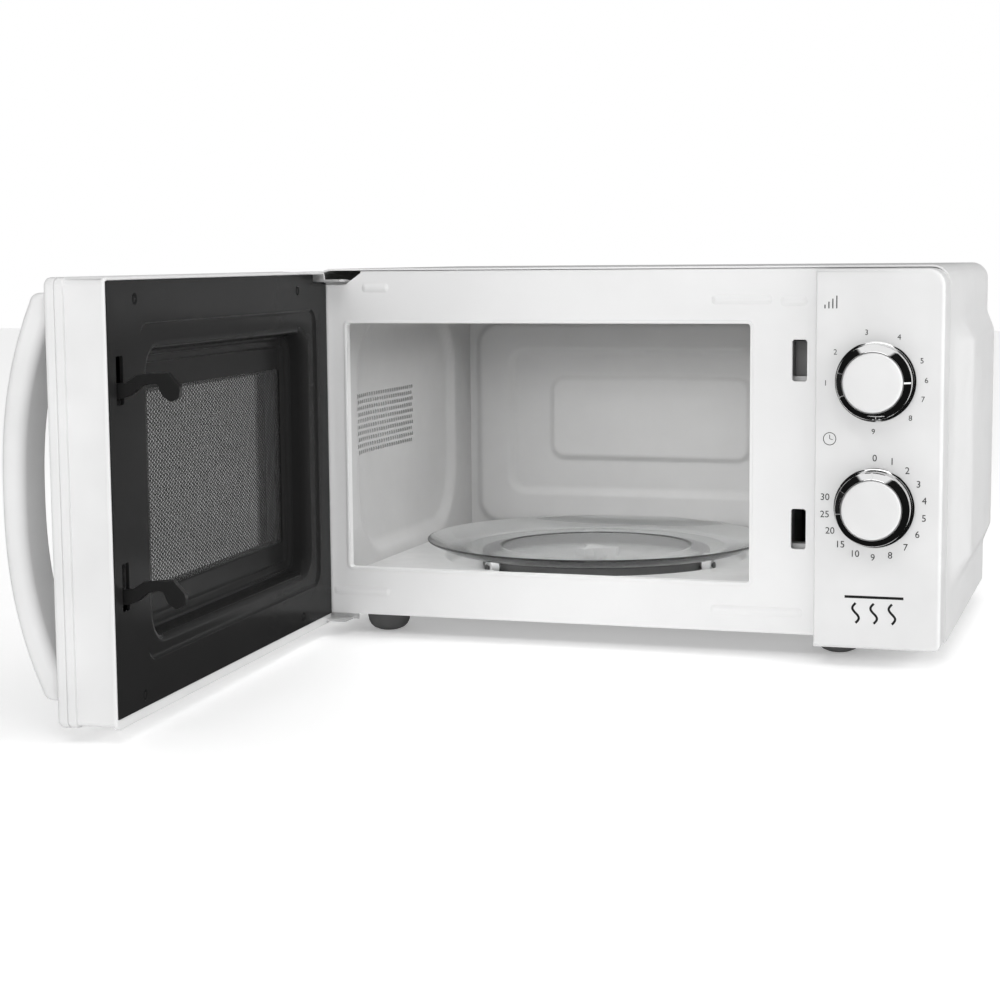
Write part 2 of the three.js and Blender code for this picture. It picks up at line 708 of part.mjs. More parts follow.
piece('control_panel', controlPanel(), white);
piece('power_knob', knobCap(dial.powerZ, Math.PI / 2), white);
piece('power_knob_ring', knobRing(dial.powerZ), chrome);
piece('power_selector_shaft', dialShaft(dial.powerZ), steel);
piece('power_selector', box(dial.x - 17, dial.x + 17, -27.3, 4, dial.powerZ - 16, dial.powerZ + 16), darkGrey);
piece('timer_knob', knobCap(dial.timerZ, 0), white);
piece('timer_knob_ring', knobRing(dial.timerZ), chrome);
piece('timer_shaft', dialShaft(dial.timerZ), steel);
piece('timer_body', box(dial.x - 25, dial.x + 25, -27.3, 12, dial.timerZ - 25, dial.timerZ + 25), darkGrey);
piece('timer_bell', timerBell(), steel);

piece('interlock_bracket', interlockBracket(), white);
piece('door_switch_upper', microswitch(190), darkGrey);
piece('door_switch_middle', microswitch(134), darkGrey);
piece('door_switch_lower', microswitch(78), darkGrey);
piece('waveguide', waveguide(), steel);
piece('waveguide_cover', box(89.2, 90.2, 96, 184, 138, 202), ceramic);
piece('magnetron', magnetron(), steel);
piece('transformer_core', transformerCore(), darkGrey);
piece('transformer_winding', transformerWinding(), copper);
piece('capacitor', capacitor(), steel);
piece('high_voltage_diode', turnedRight(rodProfile(3.5, 0, 24), 204, 24, 120, 12), black);
piece('fan_shroud', fanShroud(), darkGrey);
piece('fan_motor', fanMotor(), steel);
piece('fan_blade', fanBlade(), ceramic);
piece('air_duct', airDuct(), white);
piece('oven_lamp', ovenLamp(), ceramic);
piece('thermal_cutout', turnedRight([[0, 0], [9, 0], [9, 6], [4, 6], [4, 11], [0, 11]], 225, 216, 92, 16), black);
piece('noise_filter_board', filterBoard(), darkGrey);

piece('turntable_motor', turntableMotor(), steel);
piece('drive_coupler', driveCoupler(), ceramic);
piece('turntable_glass', turntableGlass(), glass);
piece('roller_ring', rollerRing(), darkGrey);
for (let i = 0; i < ring.wheelCount; i += 1) piece(`roller_wheel_${i + 1}`, rollerWheel(i), ceramic);
piece('grill_element', grillElement(), steel);
piece('element_clip_left', elementClip(-120), ceramic);
piece('element_clip_right', elementClip(20), ceramic);

const outline = new THREE.Box3().setFromObject(microwave, true);
const centre = outline.getCenter(new THREE.Vector3());
microwave.position.set(-centre.x, -centre.y, 0);

export default microwave;
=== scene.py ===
"""A white microwave oven with its door open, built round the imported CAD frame.

Sizes are in millimetres, in two spaces: the cabinet's (x right, y back from the front frame's
face, z up from the floor) and the door's (x along the closed door from its hinge pin, y towards
the cavity, z up). CABINET and DOOR turn them into the frame's metres.
"""

import json
import math

import bmesh
import bpy
import numpy as np
from mathutils import Matrix, Vector
from mathutils.geometry import tessellate_polygon


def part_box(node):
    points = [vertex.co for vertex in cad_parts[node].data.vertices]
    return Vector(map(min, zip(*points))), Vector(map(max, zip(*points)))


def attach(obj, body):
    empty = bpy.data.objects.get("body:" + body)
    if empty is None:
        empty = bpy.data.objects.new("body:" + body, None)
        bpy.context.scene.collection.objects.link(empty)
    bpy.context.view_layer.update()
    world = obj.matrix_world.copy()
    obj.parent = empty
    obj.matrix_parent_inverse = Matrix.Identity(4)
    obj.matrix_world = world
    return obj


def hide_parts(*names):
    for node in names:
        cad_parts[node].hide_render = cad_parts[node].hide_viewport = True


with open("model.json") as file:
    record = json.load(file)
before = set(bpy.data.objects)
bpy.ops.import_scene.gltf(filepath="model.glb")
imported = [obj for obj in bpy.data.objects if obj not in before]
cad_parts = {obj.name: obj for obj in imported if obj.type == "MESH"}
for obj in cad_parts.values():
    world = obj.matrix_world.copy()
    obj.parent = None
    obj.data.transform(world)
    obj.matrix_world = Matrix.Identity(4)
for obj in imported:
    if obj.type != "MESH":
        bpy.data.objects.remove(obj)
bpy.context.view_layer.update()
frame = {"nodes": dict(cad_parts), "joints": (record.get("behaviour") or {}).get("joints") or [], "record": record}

MM = 0.001
joints = {joint["name"]: joint for joint in frame["joints"]}


def cabinet_space():
    wrap_low, wrap_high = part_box("outer_wrap")
    face_low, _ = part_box("front_frame")
    middle = (wrap_low.x + wrap_high.x) / 2
    return Matrix.Translation((middle, face_low.y, 0)) @ Matrix.Scale(MM, 4)


def door_space():
    hinge = joints["door_hinge"]
    pin = hinge["pos_m"]
    turn = Matrix.Rotation(-math.radians(hinge["range_deg"][1]), 4, "Z")
    return Matrix.Translation((pin[0], pin[1], 0)) @ turn @ Matrix.Scale(MM, 4)


CABINET = cabinet_space()
DOOR = door_space()


class Extent:
    """The room a CAD node takes, in millimetres of the given space."""

    def __init__(self, node, space):
        inverse = space.inverted()
        points = np.array([inverse @ v.co for v in frame["nodes"][node].data.vertices])
        self.x0, self.y0, self.z0 = points.min(0)
        self.x1, self.y1, self.z1 = points.max(0)


# ---------------------------------------------------------------- outlines


def rounded(x0, x1, z0, z1, radius, corner=6, across=1, up=1):
    """A rounded rectangle, anticlockwise from its lower left, with its straight sides divided."""
    arcs = [
        (x1 - radius, z0 + radius, -90),
        (x1 - radius, z1 - radius, 0),
        (x0 + radius, z1 - radius, 90),
        (x0 + radius, z0 + radius, 180),
    ]
    points = []
    for index, (cx, cz, start) in enumerate(arcs):
        arc = []
        for step in range(corner + 1):
            angle = math.radians(start + 90 * step / corner)
            arc.append((cx + radius * math.cos(angle), cz + radius * math.sin(angle)))
        divisions = up if index in (1, 3) else across
        if points:
            points += between(points[-1], arc[0], divisions)
        points += arc
    points += between(points[-1], points[0], across)
    return points


def between(a, b, divisions):
    """The points that divide the line from a to b, without its ends."""
    steps = [n / divisions for n in range(1, divisions)]
    return [(a[0] + (b[0] - a[0]) * t, a[1] + (b[1] - a[1]) * t) for t in steps]


def circle(cx, cz, radius, count=24):
    turns = [2 * math.pi * n / count for n in range(count)]
    return [(cx + radius * math.cos(t), cz + radius * math.sin(t)) for t in turns]


def ramp(t, soft=0.15):
    """0 below t = 0, 1 above t = 1, straight between, with soft corners."""
    if t <= -soft:
        return 0.0
    if t < soft:
        return (t + soft) ** 2 / (4 * soft)
    if t <= 1 - soft:
        return t
    if t < 1 + soft:
        return 1 - (1 + soft - t) ** 2 / (4 * soft)
    return 1.0


def spaced(*stops):
    """Values through the stops, given as value, divisions, value, divisions, value."""
    values = [stops[0]]
    for divisions, end in zip(stops[1::2], stops[2::2]):
        start = values[-1]
        values += [start + (end - start) * n / divisions for n in range(1, divisions + 1)]
    return values


# ---------------------------------------------------------------- meshes


def facing_front(a, b, depth):
    return (a, depth, b)


def facing_up(a, b, depth):
    return (a, b, depth)


def facing_side(a, b, depth):
    return (depth, a, b)


class Shape:
    """Points and faces of one piece, in millimetres of its own space."""

    def __init__(self):
        self.points = []
        self.faces = []

    def loop(self, points):
        start = len(self.points)
        self.points += [tuple(p) for p in points]
        return list(range(start, start + len(points)))

    def flat(self, outline, depth, place=None):
        """A flat loop at a depth. Without place, it faces front or back."""
        place = place or facing_front
        return self.loop([place(a, b, depth) for a, b in outline])

    def bridge(self, a, b, closed=True):
        count = len(a)
        for n in range(count if closed else count - 1):
            m = (n + 1) % count
            self.faces.append((a[n], a[m], b[m], b[n]))

    def bridges(self, loops, closed=True):
        for a, b in zip(loops, loops[1:]):
            self.bridge(a, b, closed)

    def fill(self, outer, *holes):
        rings = [outer, *holes]
        lines = [[Vector(self.points[i]) for i in ring] for ring in rings]
        index = [i for ring in rings for i in ring]
        for triangle in tessellate_polygon(lines):
            self.faces.append(tuple(index[i] for i in triangle))

    def turn(self, profile, place, count=64):
        """A turned body. place(radius, height, angle) gives a point; a radius of 0 is a tip."""
        rings = []
        for radius, height in profile:
            if radius == 0:
                rings.append(self.loop([place(0, height, 0)]))
                continue
            angles = [2 * math.pi * n / count for n in range(count)]
            rings.append(self.loop([place(radius, height, angle) for angle in angles]))
        for a, b in zip(rings, rings[1:]):
            if len(a) == 1:
                self.faces += [(a[0], b[n], b[(n + 1) % count]) for n in range(count)]
            elif len(b) == 1:
                self.faces += [(a[n], b[0], a[(n + 1) % count]) for n in range(count)]
            else:
                self.bridge(a, b)

    def block(self, x0, x1, y0, y1, z0, z1):
        low = self.loop([(x0, y0, z0), (x1, y0, z0), (x1, y1, z0), (x0, y1, z0)])
        high = self.loop([(x0, y0, z1), (x1, y0, z1), (x1, y1, z1), (x0, y1, z1)])
        self.faces += [tuple(low), tuple(high)]
        self.bridge(low, high)

    def plate(self, outline, low, high, *holes, place=None):
        front = self.flat(outline, low, place)
        back = self.flat(outline, high, place)
        self.bridge(front, back)
        front_holes = [self.flat(hole, low, place) for hole in holes]
        back_holes = [self.flat(hole, high, place) for hole in holes]
        for a, b in zip(front_holes, back_holes):
            self.bridge(a, b)
        self.fill(front, *front_holes)
        self.fill(back, *back_holes)

    def mesh(self, name, space):
        data = bpy.data.meshes.new(name)
        data.from_pydata(self.points, [], self.faces)
        data.transform(space)
        bm = bmesh.new()
        bm.from_mesh(data)
        bmesh.ops.remove_doubles(bm, verts=bm.verts, dist=2e-6)
        bmesh.ops.recalc_face_normals(bm, faces=bm.faces)
        bm.to_mesh(data)
        bm.free()
        return data


def turned_up(cx, cy):
    return lambda r, h, a: (cx + r * math.cos(a), cy + r * math.sin(a), h)


def turned_forward(cx, cz, face):
    """Height counts from the face towards the front."""
    return lambda r, h, a: (cx + r * math.cos(a), face - h, cz + r * math.sin(a))


def soften(obj, width=0.0, angle=35, segments=2):
    """Small round edges, and normals that keep the flats flat."""
    if width:
        bevel = obj.modifiers.new("edges", "BEVEL")
        bevel.width = width * MM
        bevel.segments = segments
        bevel.limit_method = "ANGLE"
        bevel.angle_limit = math.radians(angle)
        bevel.use_clamp_overlap = True
    weigh = obj.modifiers.new("normals", "WEIGHTED_NORMAL")
    weigh.keep_sharp = True


def piece(name, shape, space, body, material, replaces=(), bevel=0.0, smooth=50):
    """Adds a finished piece that rides on a body and stands for its CAD nodes."""
    obj = bpy.data.objects.new(name, shape.mesh(name, space))
    bpy.context.scene.collection.objects.link(obj)
    obj.data.shade_smooth()
    if bevel:
        soften(obj, bevel)
    else:
        obj.data.set_sharp_from_angle(angle=math.radians(smooth))
        soften(obj)
    obj.data.materials.append(material)
    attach(obj, body)
    if replaces:
        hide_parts(*replaces)
    return obj


def carve(obj, shape, space):
    """Cuts a closed shape out of a piece, for good."""
    cutter = bpy.data.objects.new("cutter", shape.mesh("cutter", space))
    bpy.context.scene.collection.objects.link(cutter)
    cut = obj.modifiers.new("cut", "BOOLEAN")
    cut.operation = "DIFFERENCE"
    cut.solver = "EXACT"
    cut.object = cutter
    others = [m for m in obj.modifiers if m is not cut]
    for modifier in others:
        modifier.show_viewport = False
    graph = bpy.context.evaluated_depsgraph_get()
    old = obj.data
    obj.data = bpy.data.meshes.new_from_object(obj.evaluated_get(graph))
    obj.modifiers.remove(cut)
    for modifier in others:
        modifier.show_viewport = True
    bpy.data.objects.remove(cutter)
    bpy.data.meshes.remove(old)


def perforated(shape, low, high, pitch, row, radius, point, thickness, sides=8):
    """A sheet from low to high full of round holes in staggered rows.

    point(u, v, depth) places a point of the sheet; the holes go right through its thickness.
    """
    rows = max(1, round((high[1] - low[1]) / row))
    columns = max(1, round((high[0] - low[0]) / pitch) - 1)
    step_u = (high[0] - low[0]) / (columns + 0.5)
    step_v = (high[1] - low[1]) / rows
    corners = [(0.5, 0), (0.5, 0.5), (0, 0.5), (-0.5, 0.5), (-0.5, 0), (-0.5, -0.5), (0, -0.5), (0.5, -0.5)]
    for r in range(rows):
        v = low[1] + (r + 0.5) * step_v
        offset = 0.5 if r % 2 else 0.0
        left = low[0] + offset * step_u
        ends = [(low[0], left), (left + columns * step_u, high[0])]
        for u0, u1 in ends:
            if u1 - u0 > 1e-6:
                solid_strip(shape, u0, u1, v, step_v, point, thickness)
        for c in range(columns):
            u = left + (c + 0.5) * step_u
            rims = []
            for depth in (0, thickness):
                edge = [point(u + a * step_u, v + b * step_v, depth) for a, b in corners]
                angles = [2 * math.pi * n / sides for n in range(sides)]
                hole = [point(u + radius * math.cos(t), v + radius * math.sin(t), depth) for t in angles]
                outer, inner = shape.loop(edge), shape.loop(hole)
                shape.bridge(outer, inner)
                rims.append(inner)
            shape.bridge(*rims)


def solid_strip(shape, u0, u1, v, height, point, thickness):
    for depth in (0, thickness):
        corners = [(u0, v - height / 2), (u1, v - height / 2), (u1, v + height / 2), (u0, v + height / 2)]
        shape.faces.append(tuple(shape.loop([point(a, b, depth) for a, b in corners])))


def inside(a, b, sides, radius):
    """How far a point is inside a rounded rectangle; negative when it is outside."""
    a0, a1, b0, b1 = sides
    past_a = abs(a - (a0 + a1) / 2) - (a1 - a0) / 2 + radius
    past_b = abs(b - (b0 + b1) / 2) - (b1 - b0) / 2 + radius
    corner = math.hypot(max(past_a, 0), max(past_b, 0))
    return radius - corner - min(max(past_a, past_b), 0)


def grid_sheet(shape, us, vs, point, window=None, rimmed=True):
    """A thin curved sheet. point(u, v, side) places its two faces; window is left open."""
    faces = [[shape.loop([point(u, v, side) for u in us]) for v in vs] for side in (0, 1)]
    columns, rows = len(us) - 1, len(vs) - 1

    def within(i, j):
        return 0 <= i < columns and 0 <= j < rows

    def solid(i, j):
        if not within(i, j):
            return False
        if window is None:
            return True
        u, v = (us[i] + us[i + 1]) / 2, (vs[j] + vs[j + 1]) / 2
        return inside(u, v, window, 0) < 0

    def wall(a, b):
        (i, j), (k, m) = a, b
        shape.faces.append((faces[0][j][i], faces[0][m][k], faces[1][m][k], faces[1][j][i]))

    for j in range(rows):
        for i in range(columns):
            if solid(i, j):
                for grid in faces:
                    shape.faces.append((grid[j][i], grid[j][i + 1], grid[j + 1][i + 1], grid[j + 1][i]))
    for j in range(rows + 1):
        for i in range(columns):
            outer = not (within(i, j - 1) and within(i, j))
            if solid(i, j - 1) != solid(i, j) and (rimmed or outer):
                wall((i, j), (i + 1, j))
    for j in range(rows):
        for i in range(columns + 1):
            outer = not (within(i - 1, j) and within(i, j))
            if solid(i - 1, j) != solid(i, j) and (rimmed or outer):
                wall((i, j), (i, j + 1))


def stroke(shape, points, width, low, high):
    """A flat drawn line of even width, in the plane that faces front."""
    left, right = [], []
    for n, (x, z) in enumerate(points):
        before, after = points[max(n - 1, 0)], points[min(n + 1, len(points) - 1)]
        along = Vector((after[0] - before[0], after[1] - before[1])).normalized() * width / 2
        left.append((x - along.y, z + along.x))
        right.append((x + along.y, z - along.x))
    shape.plate(left + right[::-1], low, high)


def figure(shape, text, x, z, height, face):
    """A figure of the built-in font, centred on x, z and printed on a face."""
    curve = bpy.data.curves.new("figure", "FONT")
    curve.body = text
    curve.resolution_u = 4
    curve.extrude = 0.005
    holder = bpy.data.objects.new("figure", curve)
    bpy.context.scene.collection.objects.link(holder)
    graph = bpy.context.evaluated_depsgraph_get()
    data = bpy.data.meshes.new_from_object(holder.evaluated_get(graph))
    spots = np.array([v.co for v in data.vertices])
    low, high = spots.min(0), spots.max(0)
    size = height / (high[1] - low[1])
    middle = (low + high) / 2
    start = len(shape.points)
    for spot in spots:
        a, b, c = (spot - middle) * size
        shape.points.append((x + a, face - c, z + b))
    shape.faces += [tuple(start + i for i in polygon.vertices) for polygon in data.polygons]
    bpy.data.objects.remove(holder)
    bpy.data.curves.remove(curve)
    bpy.data.meshes.remove(data)


# ---------------------------------------------------------------- materials


class Finish:
    """A material whose fine detail comes from noise in the piece's own space."""

    def __init__(self, name, colour, roughness, metallic=0.0, **values):
        self.material = bpy.data.materials.new(name)
        self.material.use_nodes = True
        self.nodes = self.material.node_tree.nodes
        self.links = self.material.node_tree.links
        self.shader = self.nodes["Principled BSDF"]
        self.shader.inputs["Base Color"].default_value = (*colour, 1)
        self.shader.inputs["Roughness"].default_value = roughness
        self.shader.inputs["Metallic"].default_value = metallic
        for socket, value in values.items():
            self.shader.inputs[socket.replace("_", " ")].default_value = value
        self.place = self.nodes.new("ShaderNodeTexCoord").outputs["Object"]

    def noise(self, size, detail=2.0, stretch=(1, 1, 1)):
        """Noise with features about size millimetres across."""
        mapping = self.nodes.new("ShaderNodeMapping")
        mapping.inputs["Scale"].default_value = stretch
        self.links.new(self.place, mapping.inputs["Vector"])
        noise = self.nodes.new("ShaderNodeTexNoise")
        noise.inputs["Scale"].default_value = 1 / (size * MM)
        noise.inputs["Detail"].default_value = detail
        self.links.new(mapping.outputs["Vector"], noise.inputs["Vector"])
        return noise.outputs["Fac"]

    def cells(self, size):
        """Random flat patches about size millimetres across."""
        cells = self.nodes.new("ShaderNodeTexVoronoi")
        cells.inputs["Scale"].default_value = 1 / (size * MM)
        self.links.new(self.place, cells.inputs["Vector"])
        split = self.nodes.new("ShaderNodeSeparateColor")
        self.links.new(cells.outputs["Color"], split.inputs["Color"])
        return split.outputs["Red"]

    def stripes(self, size, axis):
        wave = self.nodes.new("ShaderNodeTexWave")
        wave.bands_direction = axis
        wave.inputs["Scale"].default_value = 0.314 / (size * MM)
        self.links.new(self.place, wave.inputs["Vector"])
        return wave.outputs["Fac"]

    def tint(self, value, dark, light, low=0.3, high=0.7):
        ramp_node = self.nodes.new("ShaderNodeValToRGB")
        ends = ramp_node.color_ramp.elements
        ends[0].position, ends[1].position = low, high
        ends[0].color, ends[1].color = (*dark, 1), (*light, 1)
        self.links.new(value, ramp_node.inputs["Fac"])
        self.links.new(ramp_node.outputs["Color"], self.shader.inputs["Base Color"])
        return self

    def gloss(self, value, low, high):
        spread = self.nodes.new("ShaderNodeMapRange")
        spread.inputs["From Min"].default_value = 0.3
        spread.inputs["From Max"].default_value = 0.7
        spread.inputs["To Min"].default_value = low
        spread.inputs["To Max"].default_value = high
        self.links.new(value, spread.inputs["Value"])
        self.links.new(spread.outputs["Result"], self.shader.inputs["Roughness"])
        return self

    def bump(self, value, height, strength=0.5):
        bump = self.nodes.new("ShaderNodeBump")
        bump.inputs["Distance"].default_value = height * MM
        bump.inputs["Strength"].default_value = strength
        self.links.new(value, bump.inputs["Height"])
        self.links.new(bump.outputs["Normal"], self.shader.inputs["Normal"])
        return self


def grey(level):
    return (level, level, level)


def painted(name, level, roughness, grain, **values):
    """Powder paint: a faint orange peel and slightly uneven tone and gloss."""
    finish = Finish(name, grey(level), roughness, **values)
    finish.tint(finish.noise(60, 3), grey(level * 0.975), grey(level * 1.01))
    finish.gloss(finish.noise(14, 3), roughness - 0.04, roughness + 0.05)
    return finish.bump(finish.noise(grain, 2), 0.02, 0.35)


def moulded(name, level, roughness, grain=0.35):
    """Moulded plastic with a fine spark-eroded grain."""
    finish = Finish(name, grey(level), roughness)
    finish.tint(finish.noise(40, 2), grey(level * 0.96), grey(level * 1.03))
    finish.gloss(finish.noise(8, 3), roughness - 0.05, roughness + 0.06)
    return finish.bump(finish.noise(grain, 3), 0.012, 0.4)


def enamelled():
    """Grey baked enamel, slightly uneven in tone and gloss."""
    finish = Finish("cavity_enamel", grey(0.55), 0.3)
    finish.tint(finish.noise(30, 2), grey(0.54), grey(0.56))
    finish.gloss(finish.noise(12, 3), 0.28, 0.38)
    return finish.bump(finish.noise(6, 2), 0.01, 0.2)


def galvanised():
    finish = Finish("galvanised_steel", grey(0.72), 0.4, 0.4)
    finish.tint(finish.cells(4), grey(0.69), grey(0.75))
    finish.gloss(finish.cells(7), 0.3, 0.45)
    return finish.bump(finish.noise(1.2, 2), 0.01, 0.3)


def brushed(name, level, roughness):
    finish = Finish(name, grey(level), roughness, 1.0)
    finish.tint(finish.noise(4, 3), grey(level * 0.85), grey(level * 1.1))
    finish.gloss(finish.noise(2, 2, (1, 6, 1)), roughness - 0.06, roughness + 0.08)
    return finish.bump(finish.noise(0.4, 2, (1, 8, 1)), 0.006, 0.3)


def laminated():
    finish = Finish("lamination_steel", grey(0.22), 0.5, 1.0)
    finish.tint(finish.stripes(1.0, "Y"), grey(0.14), grey(0.3))
    finish.gloss(finish.noise(5, 3), 0.42, 0.6)
    return finish.bump(finish.stripes(1.0, "Y"), 0.1, 0.5)


def wound():
    finish = Finish("copper_wire", (0.62, 0.26, 0.13), 0.35, 1.0)
    finish.tint(finish.stripes(0.9, "Z"), (0.35, 0.13, 0.06), (0.72, 0.32, 0.16))
    return finish.bump(finish.stripes(0.9, "Z"), 0.25, 0.7)


def plated():
    finish = Finish("chrome", grey(0.82), 0.045, 1.0)
    finish.gloss(finish.noise(6, 3), 0.03, 0.07)
    return finish.bump(finish.noise(5, 1), 0.003, 0.2)


def pressed_glass():
    finish = Finish("turntable_glass", (0.98, 0.99, 0.986), 0.03, IOR=1.25, Transmission_Weight=1.0)
    finish.gloss(finish.noise(9, 3), 0.02, 0.07)
    return finish.bump(finish.noise(3.5, 2), 0.05, 0.35)


def filmed():
    finish = Finish("clear_film", grey(0.9), 0.08, Alpha=0.02)
    return finish.gloss(finish.noise(15, 2), 0.06, 0.12)


def smoked():
    finish = Finish("tinted_window", grey(0.02), 0.06, Alpha=0.4)
    finish.tint(finish.noise(50, 2), grey(0.014), grey(0.024))
    return finish.gloss(finish.noise(20, 2), 0.04, 0.09)


def flaked():
    finish = Finish("mica", (0.55, 0.47, 0.34), 0.35, Coat_Weight=0.3)
    finish.tint(finish.cells(5), (0.47, 0.39, 0.27), (0.62, 0.54, 0.4))
    return finish.bump(finish.cells(5), 0.04, 0.4)


FINISHES = {
    "white_paint": painted("white_paint", 0.84, 0.33, 1.1, Coat_Weight=0.12, Coat_Roughness=0.15).material,
    "white_plastic": moulded("white_plastic", 0.73, 0.36).material,
    "cavity_enamel": enamelled().material,
    "black_enamel": painted("black_enamel", 0.018, 0.2, 1.3, IOR=1.12).material,
    "black_plastic": moulded("black_plastic", 0.014, 0.36).material,
    "dark_plastic": moulded("dark_plastic", 0.11, 0.5).material,
    "galvanised_steel": galvanised().material,
    "spring_steel": brushed("spring_steel", 0.5, 0.3).material,
    "lamination_steel": laminated().material,
    "copper_wire": wound().material,
    "chrome": plated().material,
    "turntable_glass": pressed_glass().material,
    "clear_film": filmed().material,
    "tinted_window": smoked().material,
    "mica": flaked().material,
    "ceramic_white": moulded("ceramic_white", 0.8, 0.3, 0.9).material,
}


def dress_frame():
    """Every CAD node gets its slot's finish and small round edges."""
    for part in frame["record"]["subparts"]:
        node = frame["nodes"][part["node"]]
        node.data.materials.clear()
        node.data.materials.append(FINISHES[part["material_slot"]])
        soften(node, 0.35)


def add(name, shape, space, body, slot, replaces=(), bevel=0.0, smooth=50):
    return piece(name, shape, space, body, FINISHES[slot], replaces, bevel, smooth)


# ---------------------------------------------------------------- cabinet

WRAP = Extent("outer_wrap", CABINET)
LINER = Extent("cavity_liner", CABINET)
FLOOR = Extent("cavity_floor", CABINET)
REAR = Extent("rear_panel", CABINET)
PANEL = Extent("control_panel", CABINET)
PLATE = Extent("turntable_glass", CABINET)

SHEET = 1.2
TABLE_X = (PLATE.x0 + PLATE.x1) / 2
TABLE_Y = (PLATE.y0 + PLATE.y1) / 2
SIDE = 220
MOUTH = (-197, 90, 48, 221)
MOUTH_RADIUS = 2
SLOTS = ((118.1, 127.9, 71.9, 98.7), (118.1, 127.9, 183.3, 210.7))
FACE_BEADS = ((-185, -165, 245.6), (-210, -167, 31), (64, 104.5, 237), (110, 128, 236), (64, 126, 29))


def swell(y, z):
    """How far the pressed side stands out from the flat of the wrap."""
    reach = 7 - 1.5 * max(0, (y - 97) / (WRAP.y1 - 97))
    return reach * ramp((y - 23) / 74) * ramp((z - 43) / 14) * ramp((222 - z) / 14)


def wrap_section(y, inset):
    radius = 12 - inset
    top = WRAP.z1 - inset
    heights = spaced(WRAP.z0, 3, 38, 12, 62, 6, 203, 12, 227, 3, top - radius)
    taper = 0.5 * max(0, (y - 97) / (WRAP.y1 - 97))
    side = SIDE - inset - taper
    left = [(-side - swell(y, z), y, z) for z in heights]
    for step in range(1, 9):
        angle = math.pi - step / 8 * math.pi / 2
        left.append((-side + radius + radius * math.cos(angle), y, top - radius + radius * math.sin(angle)))
    return left + [(-x, y, z) for x, y, z in left[::-1]]


def outer_wrap():
    shape = Shape()
    depths = spaced(WRAP.y0, 2, 12, 12, 36, 6, 84, 12, 110, 8, WRAP.y1)
    outer = [shape.loop(wrap_section(y, 0)) for y in depths]
    inner = [shape.loop(wrap_section(y, SHEET)) for y in depths]
    shape.bridges(outer, closed=False)
    shape.bridges(inner, closed=False)
    for end in (0, -1):
        shape.bridge(outer[end], inner[end], closed=False)
        shape.bridge([row[end] for row in outer], [row[end] for row in inner], closed=False)
    add("wrap_shell", shape, CABINET, "cabinet", "white_paint", ["outer_wrap"])


def front_plate():
    shape = Shape()
    outline = [(-218.4, 17.4)]
    outline += [(-218.4, 248), (-197.5, 248), (-186, 256), (-186, 257.4)]
    quarter = np.linspace(0, math.pi / 2, 7)
    outline += [(207.4 + 11 * math.sin(a), 246.4 + 11 * math.cos(a)) for a in quarter]
    outline += [(218.4, 17.4), (215.4, 14.4), (-215.4, 14.4)]
    mouth = rounded(*MOUTH, MOUTH_RADIUS, 3)
    dial_opening = rounded(144.2, 210.2, 68, 226, 4, 3)
    shape.plate(outline, 0, SHEET, mouth, dial_opening, *[rounded(*slot, 1.2, 1) for slot in SLOTS])
    add("face_plate", shape, CABINET, "cabinet", "white_paint", ["front_frame"], bevel=0.35)


def mouth_lip():
    """The rolled edge that the face plate turns into the cavity."""
    shape = Shape()
    steps = [(2.4, -0.02), (1.8, -0.45), (0.9, -0.6), (0.2, -0.3), (0, 0.5), (0, 6), (0.8, 6), (0.8, 1)]
    x0, x1, z0, z1 = MOUTH
    loops = []
    for out, y in steps:
        loops.append(shape.flat(rounded(x0 - out, x1 + out, z0 - out, z1 + out, MOUTH_RADIUS + out), y))
    shape.bridges(loops + loops[:1])
    add("mouth_lip", shape, CABINET, "cabinet", "white_paint")


def pressed_bead(shape, x0, x1, z, height=6.5):
    """A long low pressing that stands out of the face plate."""
    steps = [(0, 0.3), (0.2, -0.05), (1.0, -0.3), (2.0, -0.75), (2.7, -0.85)]
    loops = []
    for inset, y in steps:
        half = height / 2 - inset
        outline = rounded(x0 + inset, x1 - inset, z - half, z + half, min(2.2, half * 0.9), 5)
        loops.append(shape.flat(outline, y))
    shape.bridges(loops)
    shape.fill(loops[-1])
    shape.fill(loops[0])


def face_beads():
    shape = Shape()
    for x0, x1, z in FACE_BEADS:
        pressed_bead(shape, x0, x1, z)
    add("face_beads", shape, CABINET, "cabinet", "white_paint")


VENT = (31, 162, 123, 169)
WALL_DISH, DISH_CORNER = (29, 238, 50, 224), 50
GUIDE = (110, 170, 150, 190)


def left_wall_point(y, z, side):
    """The left wall is dished outwards, with large round corners and a crisp edge."""
    depth = inside(y, z, WALL_DISH, DISH_CORNER)
    return (LINER.x0 + 1 - 4.5 * ramp(depth / 5, 0.3) - 3.5 * ramp(depth / 34, 0.3) - 0.5 * side, y, z)


def cavity_walls():
    shape = Shape()
    floor, top, back = FLOOR.z1, LINER.z1 - 1, LINER.y1
    ys = spaced(LINER.y0, 5, VENT[0], 24, VENT[1], 28, back)
    zs = spaced(floor, 18, VENT[2], 10, VENT[3], 14, top)
    grid_sheet(shape, ys, zs, left_wall_point, VENT, rimmed=False)
    perforated(shape, (VENT[0], VENT[2]), (VENT[1], VENT[3]), 4.6, 4.6, 1.7, left_wall_point, 1)
    left, right = LINER.x0 + 1, LINER.x1 - 1
    grid_sheet(shape, [left, right], [LINER.y0, back], lambda x, y, side: (x, y, top + side))
    sides_y = [LINER.y0, GUIDE[0], GUIDE[1], back]
    sides_z = [floor, GUIDE[2], GUIDE[3], top]
    grid_sheet(shape, sides_y, sides_z, lambda y, z, side: (right + side, y, z), GUIDE)
    add("cavity_walls", shape, CABINET, "cabinet", "cavity_enamel", ["cavity_liner"])


